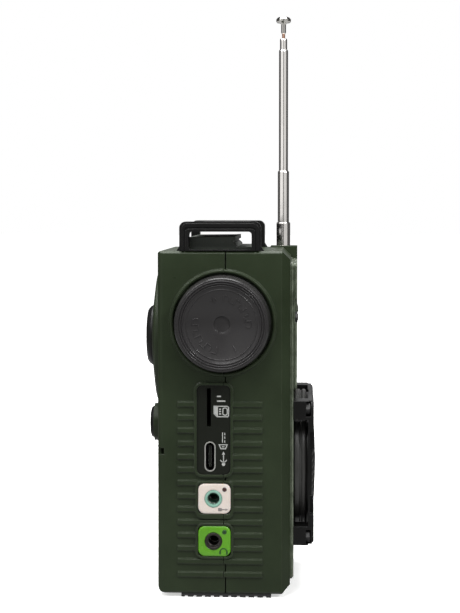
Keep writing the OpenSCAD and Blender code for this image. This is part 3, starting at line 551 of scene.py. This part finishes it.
def wheel():
    p = Piece()
    profile = list(DISH)
    profile += [(10.22, H - 1.08), (10.32, H - 1.04), (10.42, H - 1.08), (10.5, H - 1.17), (10.9, H - 1.02)]
    for i in range(RIDGES):
        r = 11.22 + RIDGE_STEP * i
        low = H - 0.86 + 0.2 * i
        for j in range(9):
            a = math.pi * j / 8
            height = low + RIDGE_H * math.sin(a) + 0.02 * j / 8
            profile.append((r + RIDGE_HALF_W * (1 - math.cos(a)), height))
    profile += [(13.2, H - 0.4), (13.35, H - 0.36), (13.55, H - 0.5), (13.72, H - 0.75), (13.83, H - 1.1),
                (13.9, H - 1.6), (13.98, H - 3.4), (13.9, H - 3.55), (13.9, H - 3.75), (14.0, H - 3.9),
                (14.08, H - 5.6), (14.0, H - 5.75), (14.0, H - 5.95), (14.1, H - 6.1), (14.24, 0.9),
                (14.24, 0.5), (14.24, -0.5), (14.0, -0.78), (2.1, -0.78), (2.1, 1.0), (0.0, 1.0)]
    p.turned(left, WHEEL_Y, WHEEL_Z, profile, 256)

    def mark(angle, r0, r1, width):
        """A raised bar that points to the middle; the angle runs down from the front."""
        a = math.radians(angle)
        c, s = math.cos(a), math.sin(a)
        verts = []
        for r in (r0, r1):
            for side in (-1, 1):
                u = WHEEL_Y - r * c - side * width / 2 * s
                v = WHEEL_Z - r * s + side * width / 2 * c
                verts += [left(u, v, dish_height(r) - 0.1), left(u, v, dish_height(r) + 0.14)]
        p.add(verts, BOX_FACES)

    def curve(a0, a1, r, width):
        """A raised arc between two angles."""
        n = 14
        inner, outer = r - width / 2, r + width / 2
        verts, faces = [], []
        for i in range(n + 1):
            a = math.radians(a0 + (a1 - a0) * i / n)
            for q, h in ((inner, -0.1), (outer, -0.1), (outer, 0.13), (inner, 0.13)):
                verts.append(left(WHEEL_Y - q * math.cos(a), WHEEL_Z - q * math.sin(a), dish_height(q) + h))
        for i in range(n):
            faces += band(4 * i, 4 * i + 4, 4)
        faces += [(0, 1, 2, 3), tuple(4 * n + j for j in range(4))]
        p.add(verts, faces)

    for start in (102, 274):
        for i in range(RAISED_BARS):
            a = start + BAR_STEP * i
            tall = i % 2 == 0
            mark(a, 6.7 if tall else 7.1, 8.75 if tall else 8.35, 0.3)
            if i < RAISED_BARS - 1:
                curve(a + 2.2, a + BAR_STEP - 2.2, 8.6 if tall else 6.9, 0.26)
    for a in (62, 252):
        mark(a, 6.7, 8.7, 0.3)
    for a in (247, 257):
        mark(a, 7.4, 7.9, 0.5)
    p.make("tuning_knob_face", "knob", "tuning", "knob_black", ("tuning_knob",))


wheel()


# ------------------------------------------------------------------ volume knob

def volume():
    """Fluted knob with its stem and a white mark."""
    p = Piece()
    segs, r, flutes, flute_depth = 192, 10.6, 32, 0.26
    rows = [(2.0, 0.46), (r - 0.35, 0.46), (r - 0.05, 0.75), (r - 0.02, 1.2), (r - 0.2, 5.2),
            (r - 0.45, 5.9), (r - 0.9, 6.35), (r - 1.5, 6.55), (r - 2.1, 6.5), (r - 2.3, 6.3),
            (r - 2.9, 6.15), (4.5, 5.75), (2.3, 5.5), (2.2, 5.1), (0.0, 5.1)]
    verts, rings = [], []
    for k, (q, h) in enumerate(rows):
        ring = []
        if q < 1e-6:
            ring = [len(verts)]
            verts.append(right(WHEEL_Y, WHEEL_Z, h))
        else:
            for i in range(segs):
                wave = 0.5 + 0.5 * math.cos(flutes * 2 * math.pi * i / segs)
                flute = flute_depth * wave ** 2 if 2 <= k <= 5 else 0.0
                du, dv = around(q - flute, i, segs)
                ring.append(len(verts))
                verts.append(right(WHEEL_Y + du, WHEEL_Z + dv, h))
        rings.append(ring)
    faces = []
    for a, b in zip(rings, rings[1:]):
        for i in range(segs):
            j = (i + 1) % segs
            faces.append((a[i], a[j], b[0]) if len(b) == 1 else (a[i], a[j], b[j], b[i]))
    faces.append(tuple(rings[0]))
    p.add(verts, faces)
    stem = [around(1.9, i, 32) for i in range(32)]
    p.prism(lambda u, v, x: (x, WHEEL_Y + u, WHEEL_Z + FOOT + v), stem, 18.6, 26.6)
    p.make("volume_knob_face", "knob", "volume", "knob_black", ("volume_knob",))
    q = Piece()
    q.ribbon(right, [(WHEEL_Y, WHEEL_Z + 6.2), (WHEEL_Y, WHEEL_Z + 7.9)], 0.5, 5.9, 6.28)
    q.make("volume_mark", "ink_white", "volume")


volume()


# ------------------------------------------------------------------ jack plates

def pillow(name, zc, material, slot, node):
    """Plate with softly rounded edges round one jack."""
    p = Piece()
    w, h, cy, corner = 9.8, 9.15, 2.7, 2.1
    hole_r, deep, face, rim = 2.6, -2.2, PLATE_H, 0.3
    n = 160

    def ring(inset, height):
        """The plate's outline moved inwards, met by rays from the middle of the hole."""
        hw, hh, r = w / 2 - inset, h / 2 - inset, max(0.3, corner - inset)
        pts = []
        for i in range(n):
            du, dv = around(1, i, n)
            lo, hi = 0.0, 12.0
            for _ in range(36):
                mid = (lo + hi) / 2
                x, y = abs(JACK_Y + du * mid - cy), abs(dv * mid)
                qx, qy = max(0, x - (hw - r)), max(0, y - (hh - r))
                inside = x <= hw and y <= hh and math.hypot(qx, qy) <= r
                lo, hi = (mid, hi) if inside else (lo, mid)
            pts.append(left(JACK_Y + du * lo, zc + dv * lo, height))
        return pts

    rings = [ring(0, deep), ring(0, rim)]
    for i in range(1, 8):
        a = math.pi / 2 * i / 7
        rings.append(ring(0.55 * (1 - math.cos(a)), rim + 0.48 * math.sin(a)))
    rings += [ring(1.2, face), ring(1.9, face)]
    for r, height in ((hole_r + 0.16, face), (hole_r + 0.05, 0.77), (hole_r, 0.68), (hole_r, deep)):
        circle_points = [around(r, i, n) for i in range(n)]
        rings.append([left(JACK_Y + u, zc + v, height) for u, v in circle_points])
    verts = [v for r in rings for v in r]
    faces = []
    for k in range(len(rings)):
        faces += band(k * n, (k + 1) % len(rings) * n, n)
    p.add(verts, faces)
    return p.make(name, material, "case", slot, (node,), 60)


pillow("aux_plate_pillow", AUX_Z, "white", "aux_white", "aux_plate")
pillow("phones_plate_pillow", PHONES_Z, "lime", "phones_green", "phones_plate")


def jack_details(zc, tag, collar, ring_material):
    """Collar and contact rings of one jack, and the small lamp beside it."""
    rim = [(1.8, 0.62), (1.86, 0.84), (2.0, 0.93), (2.3, 0.94), (2.48, 0.86), (2.55, 0.7), (2.55, 0.2),
           (1.8, 0.2)]
    ring = Piece().turned(left, JACK_Y, zc, rim, 96, close=True)
    ring.make("jack_collar_" + tag, ring_material, "case", collar)
    spring = Piece()
    for inner, near, far in ((1.7, -1.0, -2.0), (1.66, -6.4, -7.2)):
        contact = [(JACK_R, near), (JACK_R, far), (inner, far - 0.05), (inner, near + 0.05)]
        spring.turned(left, JACK_Y, zc, contact, 64, close=True)
    spring.make("jack_contacts_" + tag, "steel", "case", "bright_steel")
    cap = [(0.0, 1.02), (0.3, 0.99), (0.52, 0.92), (0.66, 0.78), (0.66, 0.3), (0.0, 0.3)]
    dot = Piece().turned(left, -0.3, zc + 2.8, cap, 40)
    dot.make("jack_lamp_cap_" + tag, "lamps", "case", "jack_dark")


jack_details(AUX_Z, "aux", "jack_teal", "teal")
jack_details(PHONES_Z, "phones", "jack_dark", "dark")


# ------------------------------------------------------------------ printed marks

def printed_marks():
    """Plain pictograms on the side panel and the jack plates, and the contacts in the charging socket."""
    white = Piece()
    lo, hi = PANEL_PROUD - 0.01, PANEL_PROUD + 0.025
    for u0, u1, v0, v1 in ((0.75, 1.95, 58.95, 59.35), (-0.55, 1.95, 57.55, 57.95)):
        white.prism(left, box_outline(u0, u1, v0, v1), lo, hi)
    card = [(2.8, 56.2), (-1.15, 56.2), (-1.5, 55.85), (-1.5, 53.4), (-1.2, 53.1), (1.9, 53.1), (2.8, 54.0)]
    white.ribbon(left, card, 0.3, lo, hi, closed=True)
    white.prism(left, [(2.7, 56.1), (1.65, 56.1), (1.65, 53.2), (1.95, 53.2), (2.7, 54.0)], lo, hi)
    for v in (55.35, 54.65, 53.95):
        white.prism(left, box_outline(0.75, 1.3, v - 0.2, v + 0.2), lo, hi)
    white.ribbon(left, rounded(-0.45, 54.65, 1.3, 2.1, 0.5, 5), 0.3, lo, hi, closed=True)
    white.prism(left, box_outline(0.18, 0.42, 45.4, 48.4), lo, hi)
    for i in range(3):
        white.prism(left, box_outline(-0.5, -0.26, 45.4 + i * 1.1, 46.1 + i * 1.1), lo, hi)
    cup = [(1.3, 44.75), (-1.1, 44.75), (-0.6, 43.55), (0.8, 43.55)]
    white.ribbon(left, cup, 0.26, lo, hi, closed=True)
    white.prism(left, box_outline(-0.3, 0.5, 44.0, 44.25), lo, hi)
    white.prism(left, circle(0.0, 38.95, 0.5, 24), lo, hi)
    white.prism(left, box_outline(-0.13, 0.13, 39.3, 41.9), lo, hi)
    white.prism(left, [(-0.45, 41.8), (0.45, 41.8), (0.0, 42.75)], lo, hi)
    white.ribbon(left, arc(0.0, 40.6, 1.0, 200, 340, 12), 0.26, lo, hi)
    white.make("port_marks", "ink_white", "case", "panel_black")

    plug = Piece()
    lo, hi = PLATE_H - 0.01, PLATE_H + 0.025
    plug.prism(left, rounded(1.05, 25.45, 1.15, 0.95, 0.2, 4), lo, hi)
    plug.prism(left, box_outline(-0.45, 0.5, 25.3, 25.6), lo, hi)
    plug.prism(left, box_outline(-0.95, -0.55, 25.2, 25.7), lo, hi)
    plug.prism(left, [(-1.02, 25.25), (-1.02, 25.65), (-1.35, 25.45)], lo, hi)
    plug.make("aux_mark", "ink_grey", "case", "aux_white")

    phones = Piece()
    phones.ribbon(left, arc(0.0, 12.75, 1.05, 0, 180, 20), 0.36, lo, hi)
    for s in (-1, 1):
        phones.prism(left, rounded(s * 1.02, 12.5, 0.5, 0.95, 0.2, 4), lo, hi)
    phones.make("phones_mark", "ink_green", "case", "phones_green")

    pads = Piece()
    half_w, half_h, pad_pitch, pad_count = 0.02, 0.13, 0.5, 12
    for i in range(pad_count):
        z = USB_Z - (pad_count - 1) / 2 * pad_pitch + i * pad_pitch + FOOT
        for y in (3.63, 4.37):
            corners = [(a, b, c) for a in (SIDE_X + 0.7, SIDE_X + 4) for b in (y - half_w, y + half_w)
                       for c in (z - half_h, z + half_h)]
            pads.add(corners, BOX_FACES)
    pads.make("usb_contacts", "nickel", "case", "bright_steel")


printed_marks()


# ------------------------------------------------------------------ speaker grille

def grille():
    """Domed sheet with six-sided holes, a rim and a turned hub."""
    limit, pitch, wire, thick = 20.6, 2.3, 0.42, 0.45
    mesh_y, crown = -25.9, 1.28
    b = bmesh.new()

    def dome(x, z):
        return crown * (1 - (math.hypot(x, z) / 21.2) ** 2)

    seen = {}

    def vert(x, z):
        key = (round(x, 3), round(z, 3))
        if key not in seen:
            seen[key] = b.verts.new((x, dome(x, z), z))
        return seen[key]

    side = pitch / math.sqrt(3)
    for i in range(-12, 13):
        for j in range(-12, 13):
            cx = pitch * (i + 0.5 * (j % 2))
            cz = 1.5 * side * j
            if math.hypot(cx, cz) < limit - 0.3:
                angles = [math.radians(60 * k + 30) for k in range(6)]
                pts = [(cx + side * math.cos(a), cz + side * math.sin(a)) for a in angles]
                outer = [vert(x, z) for x, z in pts]
                t = 1 - wire / pitch / 0.87
                pts = [(cx + (x - cx) * t, cz + (z - cz) * t) for x, z in pts]
                inner = [b.verts.new((x, dome(x, z), z)) for x, z in pts]
                for k in range(6):
                    m = (k + 1) % 6
                    b.faces.new((outer[k], outer[m], inner[m], inner[k]))
    bmesh.ops.recalc_face_normals(b, faces=b.faces)
    mesh = bpy.data.meshes.new("speaker_mesh")
    for v in b.verts:
        v.co = Vector((v.co.x * MM, (mesh_y - v.co.y) * MM, (v.co.z + DRUM_Z + FOOT) * MM))
    b.to_mesh(mesh)
    b.free()
    mesh.materials.append(M["black"])
    o = bpy.data.objects.new("speaker_mesh", mesh)
    scene.collection.objects.link(o)
    s = o.modifiers.new("thickness", "SOLIDIFY")
    s.thickness = thick * MM
    s.offset = 0
    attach(o, "case")
    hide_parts("speaker_grille")

    rim = Piece()
    rim_profile = [(20.2, 3.9), (21.15, 3.9), (21.2, 4.3), (21.15, 5.2), (20.9, 5.55), (20.5, 5.6),
                   (20.2, 5.3)]
    rim.turned(front, 0, DRUM_Z, rim_profile, 128, close=True)
    rim.make("speaker_rim", "black", "case", "guard_black")
    hub = Piece()
    hub_profile = [(0, 6.74), (2.2, 6.72), (2.9, 6.6), (3.3, 6.3), (3.4, 5.9), (3.0, 5.75), (0, 5.75)]
    hub.turned(front, 0, DRUM_Z, hub_profile, 64)
    hub.make("speaker_badge", "basket", "case", "guard_black")


grille()


# ------------------------------------------------------------------ dial

def dial():
    """Printed scale behind the window: ticks and plain numbers on two columns."""
    scale_z, scale_h = 73.4, 15.0
    ink_h, half_line = 0.03, 0.08
    left_line, right_line = -4.3, -1.1
    ink = Piece()
    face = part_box("dial_plate")[0].y / MM

    def card(u, v, h):
        """A point on the dial card: u along X, h out of the card."""
        return (u, face - h, v + FOOT)

    for line, side, count in ((left_line, -1, 31), (right_line, 1, 26)):
        for i in range(count):
            v = scale_z + scale_h * i / (count - 1)
            end = line + side * (2.2 if i % 5 == 0 else 1.2)
            tick = box_outline(min(line, end), max(line, end), v - half_line, v + half_line)
            ink.prism(card, tick, 0.0, ink_h)
    for line in (left_line, right_line):
        ink.prism(card, box_outline(line - 0.1, line + 0.1, 73.2, 88.6), 0.0, ink_h)
    ink.make("dial_ticks", "ink_black", "case", "dial_card")
    columns = (("a", -16.4, ("88", "92", "96", "100", "104", "106", "108")),
               ("b", 3.0, ("54", "70", "90", "110", "130", "160")))
    for column, x, labels in columns:
        for i, label in enumerate(labels):
            v = scale_z + scale_h * i / (len(labels) - 1)
            curve = bpy.data.curves.new("dial_number_" + label + column, "FONT")
            curve.body = label
            curve.size = 2.1 * MM
            curve.extrude = 0.015 * MM
            curve.align_x = "LEFT"
            curve.align_y = "CENTER"
            o = bpy.data.objects.new(curve.name, curve)
            scene.collection.objects.link(o)
            o.location = (x * MM, (face - 0.02) * MM, (v + FOOT) * MM)
            o.rotation_euler = (math.pi / 2, 0, 0)
            curve.materials.append(M["ink_black"])
            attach(o, "case")


dial()


# ------------------------------------------------------------------ keys, torch and back

def key_marks():
    """Plain triangles and bars on the three keys under the volume knob."""
    u, lo, hi = WHEEL_Y, 1.28, 1.33
    keys = (("next_key", 57.0, "next"), ("play_key", 47.5, "play"), ("back_key", 38.0, "back"))
    for body, v, kind in keys:
        p = Piece()
        if kind == "play":
            p.prism(right, [(u - 1.5, v - 0.95), (u - 1.5, v + 0.95), (u + 0.1, v)], lo, hi)
            p.prism(right, box_outline(u + 0.6, u + 0.95, v - 0.9, v + 0.9), lo, hi)
            p.prism(right, box_outline(u + 1.3, u + 1.65, v - 0.9, v + 0.9), lo, hi)
        else:
            s = 1 if kind == "next" else -1
            for d in (-1.4, 0.1):
                p.prism(right, [(u + s * d, v - 0.9), (u + s * d, v + 0.9), (u + s * (d + 1.4), v)], lo, hi)
            p.prism(right, box_outline(u + s * 1.65 - 0.17, u + s * 1.65 + 0.17, v - 0.9, v + 0.9), lo, hi)
        p.make("key_mark_" + kind, "ink_white", body, "panel_black")


key_marks()


def torch():
    """Stepped ring round the lamp, reflector, LED, ribs of the lamp's rim and the mark on its button."""
    ring = Piece()
    steps = [(9.55, 0.0), (21.35, 0.0), (21.35, 1.0), (21.2, 1.4), (20.8, 1.68), (20.2, 1.85), (20.0, 1.72),
             (19.8, 1.88), (17.4, 2.28), (17.2, 2.12), (17.0, 2.32), (13.6, 2.85), (13.4, 2.68),
             (13.2, 2.87), (10.4, 3.25), (9.9, 3.25), (9.6, 3.05), (9.55, 2.8)]
    ring.turned(back, 0, TORCH_Z, steps, 192, close=True)
    ring.make("torch_housing_ring", "green", "case", "shell_green", ("torch_housing",))
    bowl = Piece()
    steps_up = 24
    inside = [(1.5 + 5.6 * i / steps_up, -6.3 + 9.6 * (i / steps_up) ** 1.9) for i in range(steps_up + 1)]
    outside = [(r + 0.02, h - 0.05) for r, h in inside[::-1]]
    bowl.turned(back, 0, TORCH_Z, inside + [(7.15, 3.4), (7.15, 3.32)] + outside, 128, close=True)
    bowl.make("torch_reflector", "mirror", "case", "bright_steel")
    chip = Piece()
    chip.turned(back, 0, TORCH_Z, [(0, -5.9), (1.2, -5.9), (1.45, -6.1), (1.5, -6.6), (0, -6.6)], 40)
    chip.turned(back, 0, TORCH_Z, [(0, -5.3), (0.5, -5.38), (0.85, -5.62), (0.95, -5.9), (0, -5.9)], 32)
    chip.make("torch_led", "cream", "case", "capacitor_cream")
    grip = Piece()
    ribs = 24
    for i in range(ribs):
        c, s = around(1, i, ribs)
        verts = []
        for r, h in ((8.2, 5.1), (9.0, 4.35)):
            for w in (-0.32, 0.32):
                verts += [back(r * c - w * s, TORCH_Z + r * s + w * c, h - 0.3),
                          back(r * c - w * s, TORCH_Z + r * s + w * c, h + 0.13)]
        grip.add(verts, BOX_FACES)
    grip.make("torch_grip", "black", "case", "guard_black")
    mark = Piece()
    lo, hi = 4.28, 4.4
    mark.ribbon(back, arc(0, TORCH_KEY_Z, 1.5, 130, 410, 30), 0.35, lo, hi)
    mark.prism(back, box_outline(-0.18, 0.18, TORCH_KEY_Z + 0.3, TORCH_KEY_Z + 1.9), lo, hi)
    mark.make("torch_button_mark", "ink_white", "torch_push", "panel_black")


torch()


# Screws of one half of the case: X, the seat's Y, height and the way that the head faces along Y.
SCREWS = ((20.6, -1.7, 22.3, 1), (20.6, -1.7, 65.8, 1),
          (21.4, HALF_D - 1.4, 8, -1), (21.4, HALF_D - 1.4, 97, -1))


def screw_heads():
    """The eight screws with cross recesses."""
    n = 48
    body = ((1.05, -6.9), (1.05, 0), (1.98, 0), (1.98, 0.75), (1.9, 0.92), (1.7, 1.05), (1.35, 1.1))
    cross = []
    for i in range(n):
        from_arm = (360 * i / n + 45) % 90 - 45
        cross.append(around(1.15 if abs(from_arm) < 12 else 0.42, i, n))
    outlines = [([around(r, i, n) for i in range(n)], h) for r, h in body]
    outlines += [(cross, 1.1), ([(u * 0.85, v * 0.85) for u, v in cross], 0.3)]
    last = (len(outlines) - 1) * n
    p = Piece()
    for sx in (-1, 1):
        for x, y, z, s in SCREWS:
            verts = [(sx * x + u, y - s * h, z + FOOT + v) for outline, h in outlines for u, v in outline]
            faces = [f for k in range(len(outlines) - 1) for f in band(k * n, (k + 1) * n, n)]
            faces += [tuple(range(n)), tuple(range(last, last + n))]
            p.add(verts, faces)
    p.make("screw_set", "steel", "case", "bright_steel", ("screws",))


screw_heads()


# ------------------------------------------------------------------ stage, light and camera

def stage():
    """Pale floor that gets brighter away from the object and isn't mirrored in it."""
    mesh = bpy.data.meshes.new("floor")
    s, near = 6.0, -0.30
    shaded, plain = (0.12, 0.5), (0.5, 0.97)
    mesh.from_pydata([(near, -s, 0), (s, -s, 0), (s, s, 0), (near, s, 0)], [], [(0, 1, 2, 3)])
    o = bpy.data.objects.new("floor", mesh)
    scene.collection.objects.link(o)
    k = Nodes("floor_pale")
    k.link(k.mix(k.noise(3, 2), (0.90, 0.90, 0.89), (0.93, 0.93, 0.92)), k.b.inputs["Base Color"])
    k.b.inputs["Roughness"].default_value = 0.9
    k.b.inputs["Specular IOR Level"].default_value = 0.1
    k.b.inputs["Emission Color"].default_value = (1, 1, 1, 1)
    away = k.t.nodes.new("ShaderNodeVectorMath")
    away.operation = "LENGTH"
    k.link(k.coord, away.inputs[0])
    k.link(k.spread(away.outputs["Value"], *shaded, *plain), k.b.inputs["Emission Strength"])
    mesh.materials.append(k.m)
    o.visible_diffuse = False
    o.visible_glossy = False


def area(name, where, aim_z, size, size_y, power):
    """Softbox that points at a height on the object's upright axis."""
    light = bpy.data.lights.new(name, "AREA")
    light.energy = power
    light.shape = "RECTANGLE"
    light.size = size
    light.size_y = size_y
    o = bpy.data.objects.new(name, light)
    scene.collection.objects.link(o)
    o.location = where
    o.rotation_euler = (Vector((0, 0, aim_z)) - Vector(where)).to_track_quat("-Z", "Y").to_euler()


DIM = 0.05
FLOOR_GLOW = 0.85
ROOM = 0.86


def world():
    """White where the camera sees it. What lights the object is a dim room with tall pale walls beside the
    tuning side and a faint one behind, and a glow from the floor."""
    w = bpy.data.worlds.new("studio")
    scene.world = w
    w.use_nodes = True
    t = w.node_tree
    t.nodes.clear()
    out = t.nodes.new("ShaderNodeOutputWorld")
    seen = t.nodes.new("ShaderNodeBackground")
    seen.inputs[0].default_value = (1, 1, 1, 1)
    seen.inputs[1].default_value = 1.0
    lit = t.nodes.new("ShaderNodeBackground")
    path = t.nodes.new("ShaderNodeLightPath")
    mix = t.nodes.new("ShaderNodeMixShader")
    coord = t.nodes.new("ShaderNodeTexCoord")
    split = t.nodes.new("ShaderNodeSeparateXYZ")
    t.links.new(coord.outputs["Generated"], split.inputs[0])

    def spread(value, a, b, c, d):
        """Maps a to b softly onto c to d."""
        n = t.nodes.new("ShaderNodeMapRange")
        n.interpolation_type = "SMOOTHSTEP"
        for i, x in zip((1, 2, 3, 4), (a, b, c, d)):
            n.inputs[i].default_value = x
        t.links.new(value, n.inputs[0])
        return n.outputs[0]

    def both(how, a, b):
        n = t.nodes.new("ShaderNodeMath")
        n.operation = how
        for i, x in enumerate((a, b)):
            if isinstance(x, (int, float)):
                n.inputs[i].default_value = x
            else:
                t.links.new(x, n.inputs[i])
        return n.outputs[0]

    x, y, z = split.outputs
    turn = both("ARCTAN2", both("ABSOLUTE", y, 0), both("MULTIPLY", x, -1))
    walls = both("MULTIPLY", spread(turn, 0.10, 0.17, DIM, 1.0), spread(turn, 1.15, 1.3, 1.0, DIM))
    walls = both("MULTIPLY", walls, spread(y, -0.25, 0.0, 0.75, 1.0))
    walls = both("MULTIPLY", walls, spread(z, 0.55, 0.75, 1.0, DIM))
    walls = both("MAXIMUM", walls, spread(turn, 2.9, 3.05, DIM, 0.5))
    walls = both("MULTIPLY", walls, spread(z, -0.12, 0.0, DIM, 1.0))
    total = both("ADD", walls, spread(z, -0.30, -0.12, FLOOR_GLOW, 0.0))
    total = both("MULTIPLY", both("ADD", total, 0.04), ROOM)
    t.links.new(total, lit.inputs[1])
    lit.inputs[0].default_value = (1, 1, 1, 1)
    t.links.new(path.outputs["Is Camera Ray"], mix.inputs[0])
    t.links.new(lit.outputs[0], mix.inputs[1])
    t.links.new(seen.outputs[0], mix.inputs[2])
    t.links.new(mix.outputs[0], out.inputs[0])


def camera():
    """The photograph's view: nearly level, with a small shift in place of more tilt."""
    eye = Vector((-0.4407, -0.0223, 0.1155))
    aim = Vector((-0.026, -0.0019, 0.10102))
    data = bpy.data.cameras.new("camera")
    data.lens = 82.6
    data.sensor_width = 36
    data.shift_y = -0.0773
    data.clip_start = 0.01
    data.clip_end = 40
    o = bpy.data.objects.new("camera", data)
    scene.collection.objects.link(o)
    o.location = eye
    o.rotation_euler = (aim - eye).to_track_quat("-Z", "Y").to_euler()
    scene.camera = o


# Name, place, height aimed at, width, length and power of each light.
LIGHTS = (("top_box", (0.06, 0.0, 0.75), 0.08, 0.5, 0.5, 9.0),
          ("front_box", (-0.52, 0.12, 0.76), 0.08, 0.45, 0.45, 3.9),
          ("key_box", (-0.42, -0.42, 0.50), 0.08, 0.08, 0.08, 2.2),
          ("left_box", (-0.22, 0.50, 0.66), 0.09, 0.14, 0.4, 2.4),
          ("right_box", (-0.22, -0.50, 0.62), 0.09, 0.07, 0.4, 0.5))

stage()
world()
for light_values in LIGHTS:
    area(*light_values)
camera()
scene.view_settings.view_transform = "Standard"
